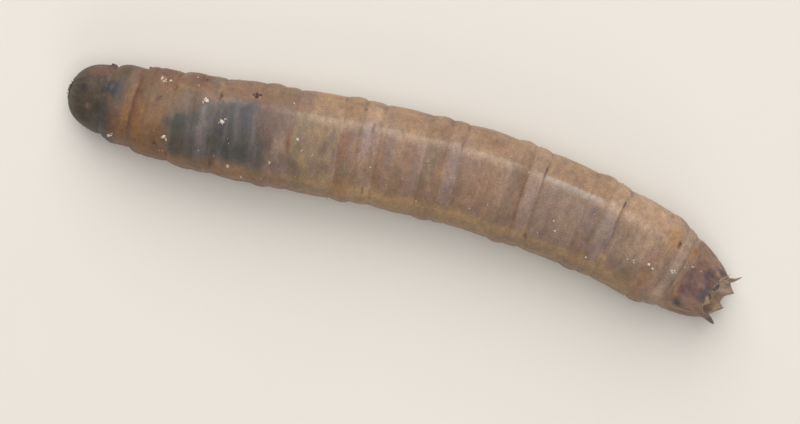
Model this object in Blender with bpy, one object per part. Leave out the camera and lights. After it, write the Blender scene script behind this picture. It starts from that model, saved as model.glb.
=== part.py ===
"""Crane fly larva at rest, life size.

A soft ringed body lies on its flattened belly in a gentle bow. The head is drawn back into the
first ring, and six pointed lobes stand round the breathing disc at the tail. The body is lofted
ring by ring along a line that is seen from above. Lengths are in metres. The larva faces -X.
"""

import math

import bmesh
import bpy
from mathutils import Matrix, Vector

MM = 0.001
UP = Vector((0.0, 0.0, 1.0))

# Rings of the body from head to tail: name, length, width, depth of the seam at the hind end, and the
# cross folds as shares of the length
SEGMENTS = (
    ("prothorax", 2.95 * MM, 4.85 * MM, 0.24 * MM, ()),
    ("mesothorax", 2.18 * MM, 5.78 * MM, 0.20 * MM, ()),
    ("metathorax", 2.70 * MM, 6.54 * MM, 0.13 * MM, (0.34,)),
    ("abdomen_1", 3.20 * MM, 6.88 * MM, 0.09 * MM, (0.53,)),
    ("abdomen_2", 5.34 * MM, 7.20 * MM, 0.09 * MM, (0.53, 0.80)),
    ("abdomen_3", 6.12 * MM, 7.42 * MM, 0.08 * MM, (0.55, 0.78)),
    ("abdomen_4", 5.84 * MM, 7.38 * MM, 0.08 * MM, (0.56, 0.81)),
    ("abdomen_5", 5.84 * MM, 7.38 * MM, 0.08 * MM, (0.58, 0.81)),
    ("abdomen_6", 5.91 * MM, 7.16 * MM, 0.10 * MM, (0.57, 0.81)),
    ("abdomen_7", 5.48 * MM, 6.86 * MM, 0.16 * MM, (0.57, 0.84)),
    ("anal_segment", 3.06 * MM, 5.50 * MM, 0.0, ()),
)
BODY_LENGTH = sum(segment[1] for segment in SEGMENTS)

# Body line seen from above: its turn from the X axis at the head, at its straightest and at the tail
HEAD_TURN = math.radians(-1.9)
MIDDLE_TURN = math.radians(7.3)
TAIL_TURN = math.radians(-17.5)
MIDDLE_SHARE = 0.345
HEAD_BOW = 2.2
LINE_STEPS = 486

# Cross section of the body: flattened below, rounder above
HEIGHT_SHARE = 0.88
WAIST_SHARE = 0.46
UPPER_ROUNDNESS = 2.15
LOWER_ROUNDNESS = 2.5
BELLY_PRESS = 0.10 * MM
RING_POINTS = 40

# The head end rounds off, and the tail end narrows and lifts off the floor towards the disc
HEAD_ROUNDING = 2.7 * MM
HEAD_TIP_HEIGHT = 1.9 * MM
HEAD_BLUNTNESS = 2.3
HEAD_FLAT = 0.05 * MM
TAIL_TAPER_START = 45.9 * MM
TAIL_TAPER = 0.38
TAIL_TAPER_POWER = 1.45
TAIL_HEIGHT = 2.75 * MM
BELLY_LIFT = 1.45 * MM
BELLY_LIFT_START = 45.6 * MM

# The rings of the thorax lean forwards at their tops, and so does the disc at the tail
THORAX_LEAN = 0.12
THORAX_LEAN_RISE = (0.0, 4.0 * MM)
THORAX_LEAN_FALL = (8.0 * MM, 15.0 * MM)
DISC_LEAN = 0.48
DISC_LEAN_RISE = (45.0 * MM, 47.8 * MM)

# Folds between the rings
JOIN_GAP = 0.3 * MM
FOLD_DEPTH = 0.06 * MM
FOLD_SHARPNESS = 4
SWOLLEN_RING = 0.08 * MM
RING_SPACING = 0.60 * MM
HEAD_RING_SPACING = 0.34 * MM

# Head capsule, set in a socket of the first ring, with its feelers and jaws
CAPSULE_MIDDLE = 1.25 * MM
CAPSULE_HALF = Vector((1.12, 1.02, 0.92)) * MM
FEELER_SPREAD = 0.52 * MM
FEELER_LENGTH = 0.62 * MM
FEELER_WIDTH = 0.34 * MM
JAW_SPREAD = 0.24 * MM
JAW_LENGTH = 0.62 * MM
JAW_WIDTH = 0.44 * MM
LIP_LENGTH = 0.55 * MM
LIP_WIDTH = 0.90 * MM
LIP_THICKNESS = 0.34 * MM
MOUTH_TAPER = 1.6
MOUTH_TIP_SHARE = 0.2

# Breathing disc at the tail, with the two spiracles' places across and up from its middle
DISC_START = 47.88 * MM
DISC_END = 48.72 * MM
DISC_SUNK = 0.24 * MM
DISC_RIM_SHARE = 0.80
SPIRACLE_RADIUS = 0.36 * MM
SPIRACLE_DEPTH = 0.34 * MM
SPIRACLES = ((0.62 * MM, 0.26 * MM), (-0.40 * MM, 0.26 * MM))

# Lobes round the disc: place across and up from the disc's middle, reach past the disc's rim, turn
# across and up on the way to the tip, width and thickness at the root
DISC_LOBES = (
    ("right dorsal", 1.26 * MM, 0.86 * MM, 0.36 * MM, 0.64 * MM, 0.12 * MM, 0.96 * MM, 0.62 * MM),
    ("left dorsal", -0.56 * MM, 0.96 * MM, 0.46 * MM, -0.08 * MM, 0.22 * MM, 0.92 * MM, 0.58 * MM),
    ("right lateral", 1.56 * MM, 0.00 * MM, 0.82 * MM, 0.66 * MM, 0.10 * MM, 0.80 * MM, 0.76 * MM),
    ("left lateral", -1.26 * MM, -0.06 * MM, 1.10 * MM, -0.38 * MM, 0.06 * MM, 0.88 * MM, 0.86 * MM),
    ("right ventral", 0.82 * MM, -0.90 * MM, 0.66 * MM, 0.16 * MM, -0.04 * MM, 1.20 * MM, 0.68 * MM),
    ("left ventral", -0.42 * MM, -0.90 * MM, 0.64 * MM, 0.14 * MM, -0.04 * MM, 1.12 * MM, 0.68 * MM),
)
LOBE_ROOT = 0.36 * MM
LOBE_TIP_SHARE = 0.12
LOBE_TAPER = 1.25
LOBE_RINGS = 5
LOBE_POINTS = 10

# Soft papillae below the disc: place across, and place of the tip along the body
PAPILLAE = (
    (-0.98 * MM, 48.75 * MM),
    (-0.34 * MM, 49.10 * MM),
    (0.34 * MM, 49.10 * MM),
    (0.98 * MM, 48.75 * MM),
)
PAPILLA_WIDTH = 0.54 * MM
PAPILLA_START = 46.9 * MM
PAPILLA_ROOT_HEIGHT = 0.66 * MM
PAPILLA_TIP_HEIGHT = 0.34 * MM
PAPILLA_TIP_SHARE = 0.45
PAPILLA_TAPER = 4.0

# Colour and roughness of each material
LOOKS = {
    "head_shell": ((0.030, 0.020, 0.016), 0.28),
    "skin_front": ((0.075, 0.055, 0.050), 0.42),
    "skin_thorax": ((0.260, 0.150, 0.085), 0.40),
    "skin_body": ((0.290, 0.215, 0.165), 0.38),
    "skin_tail": ((0.140, 0.085, 0.070), 0.42),
    "disc_flesh": ((0.420, 0.320, 0.200), 0.45),
}


def turn_at(share):
    """Heading of the body line at a share of the body's length."""
    if share < MIDDLE_SHARE:
        back = (MIDDLE_SHARE - share) / MIDDLE_SHARE
        return MIDDLE_TURN + (HEAD_TURN - MIDDLE_TURN) * back ** HEAD_BOW
    onward = (share - MIDDLE_SHARE) / (1.0 - MIDDLE_SHARE)
    return MIDDLE_TURN + (TAIL_TURN - MIDDLE_TURN) * (2.0 * onward ** 2 - onward ** 3)


def trace_line():
    """Points of the body line on the floor, from the head's tip to the tail's end."""
    step = BODY_LENGTH / LINE_STEPS
    points = [Vector((0.0, 0.0, 0.0))]
    for i in range(LINE_STEPS):
        turn = turn_at((i + 0.5) / LINE_STEPS)
        points.append(points[-1] + Vector((math.cos(turn), math.sin(turn), 0.0)) * step)
    return points


LINE = trace_line()


def line_at(place):
    """Point on the floor, direction along the body and direction to its right side, at a place."""
    share = min(max(place / BODY_LENGTH, 0.0), 1.0)
    turn = turn_at(share)
    along = Vector((math.cos(turn), math.sin(turn), 0.0))
    step = min(int(share * LINE_STEPS), LINE_STEPS - 1)
    rest = place - step * BODY_LENGTH / LINE_STEPS
    return LINE[step] + along * rest, along, UP.cross(along)


def body_point(place, across, height):
    """A point given by its place along the body, its distance to the right and its height."""
    middle, along, side = line_at(place)
    return middle + side * across + UP * height


def ease(place, start, end):
    """Smooth step from 0 to 1 between two places."""
    share = min(max((place - start) / (end - start), 0.0), 1.0)
    return share * share * (3.0 - 2.0 * share)


def lean_at(place):
    """How far the section leans forwards for each step up."""
    thorax = THORAX_LEAN * ease(place, *THORAX_LEAN_RISE) * (1.0 - ease(place, *THORAX_LEAN_FALL))
    return thorax + DISC_LEAN * ease(place, *DISC_LEAN_RISE)


def width_at(place):
    """Width of the body without folds, swinging smoothly from each ring's middle to the next."""
    start = 0.0
    last_middle = 0.0
    last_width = SEGMENTS[0][2]
    for name, length, width, seam, folds in SEGMENTS:
        middle = start + 0.5 * length
        if place <= middle:
            share = (place - last_middle) / (middle - last_middle)
            return last_width + (width - last_width) * (0.5 - 0.5 * math.cos(math.pi * share))
        start += length
        last_middle = middle
        last_width = width
    return last_width


def draw_in(place):
    """Share of the full section that is left where the body's two ends round off."""
    from_head = min(max(place / HEAD_ROUNDING, 0.0), 1.0)
    head = (1.0 - (1.0 - from_head) ** HEAD_BLUNTNESS) ** (1.0 / HEAD_BLUNTNESS)
    to_tail = max((place - TAIL_TAPER_START) / (DISC_END - TAIL_TAPER_START), 0.0)
    return head * (1.0 - TAIL_TAPER * to_tail ** TAIL_TAPER_POWER)


def section_sizes(place, inset):
    """Half width, top and bottom of the body's section at a place."""
    width = width_at(place)
    share = draw_in(place)
    tip_height = HEAD_TIP_HEIGHT if place < 0.5 * BODY_LENGTH else TAIL_HEIGHT
    half = 0.5 * width * share - inset
    top = tip_height + (HEIGHT_SHARE * width - tip_height) * share - inset
    bottom = inset - BELLY_PRESS * share
    if place < 0.5 * BODY_LENGTH:
        return half, top, bottom + tip_height * (1.0 - share)
    rising = max((place - BELLY_LIFT_START) / (DISC_END - BELLY_LIFT_START), 0.0)
    return half, top, bottom + BELLY_LIFT * rising ** 2


def section_ring(place, inset):
    """Ring of points round the body, its belly pressed flat where it would pass the floor."""
    half, top, bottom = section_sizes(place, inset)
    waist = bottom + WAIST_SHARE * (top - bottom)
    middle, along, side = line_at(place)
    lean = lean_at(place)
    middle_height = 0.5 * (top + bottom)
    ring = []
    for i in range(RING_POINTS):
        angle = 2.0 * math.pi * (i + 0.5) / RING_POINTS
        reach_across = math.cos(angle)
        reach_up = math.sin(angle)
        power = 2.0 / (UPPER_ROUNDNESS if reach_up > 0.0 else LOWER_ROUNDNESS)
        reach = (top - waist) if reach_up > 0.0 else (waist - bottom)
        across = half * math.copysign(abs(reach_across) ** power, reach_across)
        height = max(waist + reach * math.copysign(abs(reach_up) ** power, reach_up), 0.0)
        ahead = lean * (middle_height - height)
        ring.append(middle + side * across + along * ahead + UP * height)
    return ring


def fold_inset(share, front_depth, back_depth, swelling):
    """How far the skin is drawn in at a share of one fold-to-fold stretch."""
    front = front_depth * (1.0 - share) ** FOLD_SHARPNESS
    back = back_depth * share ** FOLD_SHARPNESS
    return front + back - swelling * math.sin(math.pi * share)


def segment_rings(edges, depths, spacing):
    """Rings of one segment from seam to seam, closest together at its folds."""
    rings = []
    for i, (front_edge, back_edge) in enumerate(zip(edges, edges[1:])):
        swelling = SWOLLEN_RING if len(edges) == 4 and i == 1 else 0.0
        span = back_edge - front_edge
        steps = max(3, round(span / spacing))
        shares = [0.5 - 0.5 * math.cos(math.pi * k / steps) for k in range(steps + 1)]
        for share in shares if i == 0 else shares[1:]:
            inset = fold_inset(share, depths[i], depths[i + 1], swelling)
            rings.append(section_ring(front_edge + share * span, inset))
    return rings


def new_object(name, shape, collection):
    """Turn a finished mesh under construction into an object with faces pointing out."""
    bmesh.ops.recalc_face_normals(shape, faces=shape.faces)
    mesh = bpy.data.meshes.new(name)
    shape.to_mesh(mesh)
    shape.free()
    mesh.shade_smooth()
    piece = bpy.data.objects.new(name, mesh)
    collection.objects.link(piece)
    return piece


def loft(name, rings, collection):
    """Closed skin through rings with equally many points, ending in flat caps."""
    shape = bmesh.new()
    rows = [[shape.verts.new(point) for point in ring] for ring in rings]
    for near, far in zip(rows, rows[1:]):
        for i in range(len(near)):
            j = (i + 1) % len(near)
            shape.faces.new((near[i], near[j], far[j], far[i]))
    shape.faces.new(rows[0])
    shape.faces.new(rows[-1])
    return new_object(name, shape, collection)


def ellipsoid(name, centre, half, turn, collection):
    """Rounded solid with three half sizes, turned about the vertical."""
    shape = bmesh.new()
    bmesh.ops.create_uvsphere(shape, u_segments=24, v_segments=14, radius=1.0)
    place = Matrix.Translation(centre) @ Matrix.Rotation(turn, 4, "Z")
    poles_ahead = Matrix.Rotation(0.5 * math.pi, 4, "Y")
    shape.transform(place @ Matrix.Diagonal((*half, 1.0)) @ poles_ahead)
    return new_object(name, shape, collection)


def finger(name, bend, width, thickness, taper, tip_share, collection):
    """Tapered solid along a bent line of root, knee and tip, oval in section, with a blunt tip."""
    root, knee, tip = bend
    rings = []
    for i in range(LOBE_RINGS):
        share = i / (LOBE_RINGS - 1)
        middle = root * (1 - share) ** 2 + knee * 2 * share * (1 - share) + tip * share ** 2
        along = ((knee - root) * (1 - share) + (tip - knee) * share).normalized()
        side = UP.cross(along).normalized()
        over = along.cross(side)
        size = tip_share + (1.0 - tip_share) * (1.0 - share ** taper)
        ring = []
        for k in range(LOBE_POINTS):
            angle = 2.0 * math.pi * k / LOBE_POINTS
            across = side * (0.5 * width * size * math.cos(angle))
            ring.append(middle + across + over * (0.5 * thickness * size * math.sin(angle)))
        rings.append(ring)
    return loft(name, rings, collection)


def freeze(piece):
    """Replace an object's mesh by what its modifiers make of it."""
    bpy.context.view_layer.update()
    graph = bpy.context.evaluated_depsgraph_get()
    mesh = bpy.data.meshes.new_from_object(piece.evaluated_get(graph))
    piece.modifiers.clear()
    piece.data = mesh
    mesh.name = piece.name


def keep_largest(piece):
    """Drop every closed surface of a mesh but the one with the most faces."""
    shape = bmesh.new()
    shape.from_mesh(piece.data)
    waiting = set(shape.verts)
    islands = []
    while waiting:
        front = [waiting.pop()]
        island = list(front)
        while front:
            for edge in front.pop().link_edges:
                for vert in edge.verts:
                    if vert in waiting:
                        waiting.remove(vert)
                        front.append(vert)
                        island.append(vert)
        islands.append(island)
    islands.sort(key=len)
    scraps = [vert for island in islands[:-1] for vert in island]
    bmesh.ops.delete(shape, geom=scraps, context="VERTS")
    shape.to_mesh(piece.data)
    shape.free()


def fuse(piece, collection):
    """Join all of a collection's solids into an object, then remove the collection."""
    joining = piece.modifiers.new("join", "BOOLEAN")
    joining.operation = "UNION"
    joining.operand_type = "COLLECTION"
    joining.collection = collection
    joining.solver = "EXACT"
    freeze(piece)
    for other in list(collection.objects):
        bpy.data.objects.remove(other)
    bpy.data.collections.remove(collection)
    keep_largest(piece)
    piece.data.shade_smooth()
    piece.data.set_sharp_from_angle(angle=math.radians(50.0))


def new_collection(name):
    """Make a collection in the scene."""
    collection = bpy.data.collections.new(name)
    bpy.context.scene.collection.children.link(collection)
    return collection


def make_material(name):
    """Plain material with the colour and roughness listed for it."""
    colour, roughness = LOOKS[name]
    material = bpy.data.materials.new(name)
    material.use_nodes = True
    shader = material.node_tree.nodes["Principled BSDF"]
    shader.inputs["Base Color"].default_value = (*colour, 1.0)
    shader.inputs["Roughness"].default_value = roughness
    shader.inputs["Metallic"].default_value = 0.0
    return material


def make_segments(larva):
    """All rings of the body, parted by narrow gaps in the grooves between them."""
    start = 0.0
    last_seam = 0.0
    segments = {}
    for name, length, width, seam, folds in SEGMENTS:
        front = start + 0.5 * JOIN_GAP
        back = start + length - 0.5 * JOIN_GAP
        spacing = RING_SPACING
        if name == "prothorax":
            front = HEAD_FLAT
            spacing = HEAD_RING_SPACING
        if name == "anal_segment":
            back = DISC_START - JOIN_GAP
        edges = [front, *(start + share * length for share in folds), back]
        depths = [last_seam, *(FOLD_DEPTH for share in folds), seam]
        segments[name] = loft(name, segment_rings(edges, depths, spacing), larva)
        start += length
        last_seam = seam
    return segments


def make_head(larva):
    """Horny head capsule in the mouth of the first ring, with feelers, upper lip and jaws."""
    centre = body_point(CAPSULE_MIDDLE, 0.0, HEAD_TIP_HEIGHT)
    turn = turn_at(0.0)
    capsule = ellipsoid("head_capsule", centre, CAPSULE_HALF, turn, larva)
    front = CAPSULE_MIDDLE - CAPSULE_HALF.x
    growths = new_collection("head growths")

    def growth(bend, width, thickness):
        finger("mouthpart", bend, width, thickness, MOUTH_TAPER, MOUTH_TIP_SHARE, growths)

    for side in (-1.0, 1.0):
        root = body_point(front + 0.30 * MM, side * FEELER_SPREAD, HEAD_TIP_HEIGHT + 0.30 * MM)
        knee = root + Vector((-0.5 * FEELER_LENGTH, side * 0.02 * MM, 0.03 * MM))
        tip = root + Vector((-FEELER_LENGTH, side * 0.10 * MM, 0.02 * MM))
        growth((root, knee, tip), FEELER_WIDTH, FEELER_WIDTH)
        root = body_point(front + 0.26 * MM, side * JAW_SPREAD, HEAD_TIP_HEIGHT - 0.26 * MM)
        knee = root + Vector((-0.6 * JAW_LENGTH, side * 0.16 * MM, -0.02 * MM))
        tip = root + Vector((-JAW_LENGTH, -side * 0.12 * MM, -0.05 * MM))
        growth((root, knee, tip), JAW_WIDTH, JAW_WIDTH)
    root = body_point(front + 0.30 * MM, 0.0, HEAD_TIP_HEIGHT + 0.06 * MM)
    knee = root + Vector((-0.6 * LIP_LENGTH, 0.0, 0.04 * MM))
    tip = root + Vector((-LIP_LENGTH, 0.0, -0.02 * MM))
    growth((root, knee, tip), LIP_WIDTH, LIP_THICKNESS)
    fuse(capsule, growths)
    return capsule


def cut_socket(prothorax, cutters):
    """Hollow in the first ring that holds the head capsule with a narrow gap all round."""
    centre = body_point(CAPSULE_MIDDLE, 0.0, HEAD_TIP_HEIGHT)
    half = CAPSULE_HALF + Vector((JOIN_GAP, JOIN_GAP, JOIN_GAP))
    socket = ellipsoid("head socket", centre, half, turn_at(0.0), cutters)
    socket.hide_render = True
    socket.display_type = "WIRE"
    cut = prothorax.modifiers.new("socket", "BOOLEAN")
    cut.operation = "DIFFERENCE"
    cut.object = socket
    cut.solver = "EXACT"
    freeze(prothorax)
    keep_largest(prothorax)
    prothorax.data.shade_smooth()
    prothorax.data.set_sharp_from_angle(angle=math.radians(50.0))


def add_papillae(anal_segment):
    """Four soft fingers fused to the underside of the last ring, clear of the floor."""
    growths = new_collection("papillae")
    for across, tip_place in PAPILLAE:
        root = body_point(PAPILLA_START, across, PAPILLA_ROOT_HEIGHT)
        knee = body_point(0.5 * (PAPILLA_START + tip_place), across, PAPILLA_TIP_HEIGHT)
        tip = body_point(tip_place, across * 1.1, PAPILLA_TIP_HEIGHT)
        bend = (root, knee, tip)
        finger("papilla", bend, PAPILLA_WIDTH, PAPILLA_WIDTH, PAPILLA_TAPER, PAPILLA_TIP_SHARE, growths)
    fuse(anal_segment, growths)


def make_disc(larva):
    """Breathing disc with a raised rim, two round spiracles and six pointed lobes."""
    half, top, bottom = section_sizes(DISC_END, 0.0)
    middle_height = 0.5 * (top + bottom)
    rim_centre, along, side_way = line_at(DISC_END)
    rim_centre = rim_centre + UP * middle_height
    rim = section_ring(DISC_END, 0.0)
    inner = [rim_centre + (point - rim_centre) * DISC_RIM_SHARE for point in rim]
    field = [point - along * DISC_SUNK for point in inner]
    disc = loft("spiracular_disc", [section_ring(DISC_START, 0.0), rim, inner, field], larva)
    growths = new_collection("disc growths")
    facing = (along + UP * DISC_LEAN).to_track_quat("Z", "Y").to_matrix().to_4x4()
    for across, rise in SPIRACLES:
        shape = bmesh.new()
        bmesh.ops.create_cone(
            shape,
            cap_ends=True,
            segments=16,
            radius1=SPIRACLE_RADIUS,
            radius2=0.8 * SPIRACLE_RADIUS,
            depth=SPIRACLE_DEPTH,
        )
        place = DISC_END - DISC_SUNK - DISC_LEAN * rise
        shape.transform(Matrix.Translation(body_point(place, across, middle_height + rise)) @ facing)
        new_object("spiracle", shape, growths)
    for name, across, rise, reach, turn_across, turn_up, width, thickness in DISC_LOBES:
        place = DISC_END - DISC_LEAN * rise
        root = body_point(place - LOBE_ROOT, across, middle_height + rise)
        knee = body_point(place + 0.4 * reach, across + 0.5 * turn_across, middle_height + rise)
        tip = body_point(place + reach, across + turn_across, middle_height + rise + turn_up)
        bend = (root, knee, tip)
        finger(name + " lobe", bend, width, thickness, LOBE_TAPER, LOBE_TIP_SHARE, growths)
    fuse(disc, growths)
    return disc


def settle(nodes):
    """Hang all nodes on one empty that brings the middle of their footprint to the origin."""
    low = Vector((min(v.co[k] for node in nodes for v in node.data.vertices) for k in range(3)))
    high = Vector((max(v.co[k] for node in nodes for v in node.data.vertices) for k in range(3)))
    middle = 0.5 * (low + high)
    holder = bpy.data.objects.new("larva_placing", None)
    bpy.context.scene.collection.objects.link(holder)
    holder.location = (-middle.x, -middle.y, -low.z)
    for node in nodes:
        node.parent = holder


def main():
    """Build the whole larva."""
    for thing in list(bpy.data.objects):
        bpy.data.objects.remove(thing)
    larva = new_collection("crane_fly_larva")
    cutters = new_collection("cutters")
    materials = {name: make_material(name) for name in LOOKS}
    segments = make_segments(larva)
    capsule = make_head(larva)
    cut_socket(segments["prothorax"], cutters)
    add_papillae(segments["anal_segment"])
    disc = make_disc(larva)
    for name, segment in segments.items():
        look = "skin_body"
        if name == "prothorax":
            look = "skin_front"
        elif name.endswith("thorax"):
            look = "skin_thorax"
        elif name == "anal_segment":
            look = "skin_tail"
        segment.data.materials.clear()
        segment.data.materials.append(materials[look])
    capsule.data.materials.clear()
    capsule.data.materials.append(materials["head_shell"])
    disc.data.materials.clear()
    disc.data.materials.append(materials["disc_flesh"])
    settle([*segments.values(), capsule, disc])


main()
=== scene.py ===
"""Looks of the crane fly larva: one moist, wrinkled skin over all its rings, with the head capsule,
spiracles, papillae, bristles, pale grains, some of them painted highlights, and dark crumbs as pieces of
their own. Lengths in here are in millimetres, and become metres when a mesh is made. A place is a length
along the body from its head end, and a dorsal angle is measured from the middle of the back, to the right
side positive."""

import math

import bpy
import numpy as np
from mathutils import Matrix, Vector

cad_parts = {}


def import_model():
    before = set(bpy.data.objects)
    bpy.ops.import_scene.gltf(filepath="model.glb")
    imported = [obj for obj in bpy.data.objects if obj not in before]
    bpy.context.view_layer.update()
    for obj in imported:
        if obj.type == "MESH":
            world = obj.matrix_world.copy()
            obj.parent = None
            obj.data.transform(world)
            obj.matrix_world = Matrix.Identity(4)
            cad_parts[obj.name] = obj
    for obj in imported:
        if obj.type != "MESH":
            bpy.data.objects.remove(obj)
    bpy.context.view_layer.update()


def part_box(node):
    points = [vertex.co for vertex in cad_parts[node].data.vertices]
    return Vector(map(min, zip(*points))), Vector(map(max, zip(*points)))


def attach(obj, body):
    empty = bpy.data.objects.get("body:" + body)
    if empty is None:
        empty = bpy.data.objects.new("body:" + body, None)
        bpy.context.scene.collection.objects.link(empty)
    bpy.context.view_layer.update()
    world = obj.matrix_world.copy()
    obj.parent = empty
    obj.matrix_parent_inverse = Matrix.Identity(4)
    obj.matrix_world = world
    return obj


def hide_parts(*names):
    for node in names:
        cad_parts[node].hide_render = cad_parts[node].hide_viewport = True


MM = 0.001

# Rings of the body from head to tail, as in the solids: name, length, width, depth of the seam at the
# hind end, and the cross folds as shares of the length
SEGMENTS = (
    ("prothorax", 2.95, 4.85, 0.24, ()),
    ("mesothorax", 2.18, 5.78, 0.2, ()),
    ("metathorax", 2.7, 6.54, 0.13, (0.34,)),
    ("abdomen_1", 3.2, 6.88, 0.09, (0.53,)),
    ("abdomen_2", 5.34, 7.2, 0.09, (0.53, 0.8)),
    ("abdomen_3", 6.12, 7.42, 0.08, (0.55, 0.78)),
    ("abdomen_4", 5.84, 7.38, 0.08, (0.56, 0.81)),
    ("abdomen_5", 5.84, 7.38, 0.08, (0.58, 0.81)),
    ("abdomen_6", 5.91, 7.16, 0.1, (0.57, 0.81)),
    ("abdomen_7", 5.48, 6.86, 0.16, (0.57, 0.84)),
    ("anal_segment", 3.06, 5.5, 0.0, ()),
)
NAMES = [segment[0] for segment in SEGMENTS]
LENGTHS = np.array([segment[1] for segment in SEGMENTS])
WIDTHS = np.array([segment[2] for segment in SEGMENTS])
SEAMS = np.concatenate(([0.0], np.cumsum(LENGTHS)))
BODY_LENGTH = float(SEAMS[-1])

# Body line seen from above
HEAD_TURN = math.radians(-1.9)
MIDDLE_TURN = math.radians(7.3)
TAIL_TURN = math.radians(-17.5)
MIDDLE_SHARE = 0.345
HEAD_BOW = 2.2
LINE_STEPS = 4860

# Cross section
HEIGHT_SHARE = 0.88
WAIST_SHARE = 0.46
UPPER_ROUNDNESS = 2.15
LOWER_ROUNDNESS = 2.5
BELLY_PRESS = 0.10
HEAD_ROUNDING = 2.7
HEAD_TIP_HEIGHT = 1.9
HEAD_BLUNTNESS = 2.3
TAIL_TAPER_START = 45.9
TAIL_TAPER = 0.38
TAIL_TAPER_POWER = 1.45
TAIL_HEIGHT = 2.75
BELLY_LIFT = 1.45
BELLY_LIFT_START = 45.6
DISC_END = 48.72
THORAX_LEAN = 0.12
DISC_LEAN = 0.48
FOLD_DEPTH = 0.06
FOLD_SHARPNESS = 4
SWOLLEN_RING = 0.08

# Share of the depth of seams and folds that is left on the back, and on the back of the last rings
BACK_SHARE = 0.40
TAIL_BACK_SHARE = 0.12

# The body lies rolled a little, so its back is turned this far to the left side
BODY_ROLL = 6.4

# Mesh of the skin: points of each ring, step between rings, radius of the body where it is unrolled, and
# the place where the lip begins to roll in
AROUND = 208
ALONG_STEP = 0.058
MEAN_RADIUS = 3.3
MOUTH_PLACE = 0.10


def part(value):
    """Values held between 0 and 1."""
    return np.clip(value, 0.0, 1.0)


def smooth(low, high, value):
    """Smooth step from 0 at low to 1 at high."""
    share = part((value - low) / (high - low))
    return share * share * (3.0 - 2.0 * share)


def bell(value, middle, width):
    """Bump of height 1 round the middle value."""
    return np.exp(-(((value - middle) / width) ** 2))


def rounded(value, power):
    """Power of a value, with the sign kept."""
    return np.sign(value) * np.abs(value) ** power


def unit(vectors):
    """The same vectors with length 1."""
    return vectors / np.linalg.norm(vectors, axis=-1, keepdims=True)


def half_turn(degrees):
    """The same angles from -180 to 180 degrees."""
    return (degrees + 180.0) % 360.0 - 180.0


def circle(count):
    """Angles all the way round, without the last one twice."""
    return np.linspace(0.0, 2.0 * math.pi, count, endpoint=False)


def noise(x, y, x_cell, y_cell, seed):
    """Smooth random values from -1 to 1 on a lattice with the given cell sizes."""
    draw = np.random.default_rng(seed)
    gx = (x - x.min()) / x_cell
    gy = (y - y.min()) / y_cell
    lattice = draw.uniform(-1.0, 1.0, (int(gx.max()) + 3, int(gy.max()) + 3))
    ix = np.floor(gx).astype(int)
    iy = np.floor(gy).astype(int)
    fx = smooth(0.0, 1.0, gx - ix)
    fy = smooth(0.0, 1.0, gy - iy)
    low = lattice[ix, iy] * (1.0 - fy) + lattice[ix, iy + 1] * fy
    high = lattice[ix + 1, iy] * (1.0 - fy) + lattice[ix + 1, iy + 1] * fy
    return low * (1.0 - fx) + high * fx


def noises(x, y, *layers):
    """Sum of layers of noise, each with its height, cell sizes and seed."""
    return sum(height * noise(x, y, *layer) for height, *layer in layers)


# Body line and section, as in the solids
def turn_at(share):
    """Heading of the body line at shares of the body's length."""
    back = np.clip((MIDDLE_SHARE - share) / MIDDLE_SHARE, 0.0, None)
    onward = np.clip((share - MIDDLE_SHARE) / (1.0 - MIDDLE_SHARE), 0.0, None)
    to_head = (HEAD_TURN - MIDDLE_TURN) * back ** HEAD_BOW
    to_tail = (TAIL_TURN - MIDDLE_TURN) * (2.0 * onward ** 2 - onward ** 3)
    return MIDDLE_TURN + to_head + to_tail


LINE_SHARES = np.linspace(0.0, 1.0, LINE_STEPS + 1)
LINE_TURNS = turn_at(0.5 * (LINE_SHARES[1:] + LINE_SHARES[:-1]))
LINE_X = np.concatenate(([0.0], np.cumsum(np.cos(LINE_TURNS)))) * BODY_LENGTH / LINE_STEPS
LINE_Y = np.concatenate(([0.0], np.cumsum(np.sin(LINE_TURNS)))) * BODY_LENGTH / LINE_STEPS


def body_points(place, across, height):
    """World points in millimetres, before the frame's offset, from place, across and height."""
    place, across, height = np.broadcast_arrays(place, across, height)
    share = part(place / BODY_LENGTH)
    turn = turn_at(share)
    past = place - share * BODY_LENGTH
    x = np.interp(share, LINE_SHARES, LINE_X) + past * np.cos(turn) - across * np.sin(turn)
    y = np.interp(share, LINE_SHARES, LINE_Y) + past * np.sin(turn) + across * np.cos(turn)
    return np.stack((x, y, height), axis=-1)


def lean_at(place):
    """How far the section leans forwards for each step up."""
    thorax = smooth(0.0, 4.0, place) * (1.0 - smooth(8.0, 15.0, place))
    return THORAX_LEAN * thorax + DISC_LEAN * smooth(45.0, 47.8, place)


def width_at(place):
    """Width of the body without folds."""
    middles = np.concatenate(([0.0], 0.5 * (SEAMS[1:] + SEAMS[:-1]), [BODY_LENGTH]))
    widths = np.concatenate(([WIDTHS[0]], WIDTHS, [WIDTHS[-1]]))
    i = np.clip(np.searchsorted(middles, place) - 1, 0, len(middles) - 2)
    share = part((place - middles[i]) / (middles[i + 1] - middles[i]))
    return widths[i] + (widths[i + 1] - widths[i]) * (0.5 - 0.5 * np.cos(math.pi * share))


def draw_in(place):
    """Share of the full section left at places near the two ends."""
    from_head = part(place / HEAD_ROUNDING)
    head = (1.0 - (1.0 - from_head) ** HEAD_BLUNTNESS) ** (1.0 / HEAD_BLUNTNESS)
    to_tail = np.clip((place - TAIL_TAPER_START) / (DISC_END - TAIL_TAPER_START), 0.0, None)
    return head * (1.0 - TAIL_TAPER * to_tail ** TAIL_TAPER_POWER)


def ring_edges():
    """Edges of all fold-to-fold stretches, with the depth of the fold at each edge and the swellings."""
    edges = [0.0]
    depths = [0.0]
    swellings = []
    for (_, length, _, seam, folds), start in zip(SEGMENTS, SEAMS):
        edges += [start + share * length for share in folds] + [start + length]
        depths += [FOLD_DEPTH] * len(folds) + [seam]
        swellings += [SWOLLEN_RING if len(folds) == 2 and k == 1 else 0.0 for k in range(len(folds) + 1)]
    return np.array(edges), np.array(depths), np.array(swellings)


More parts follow.
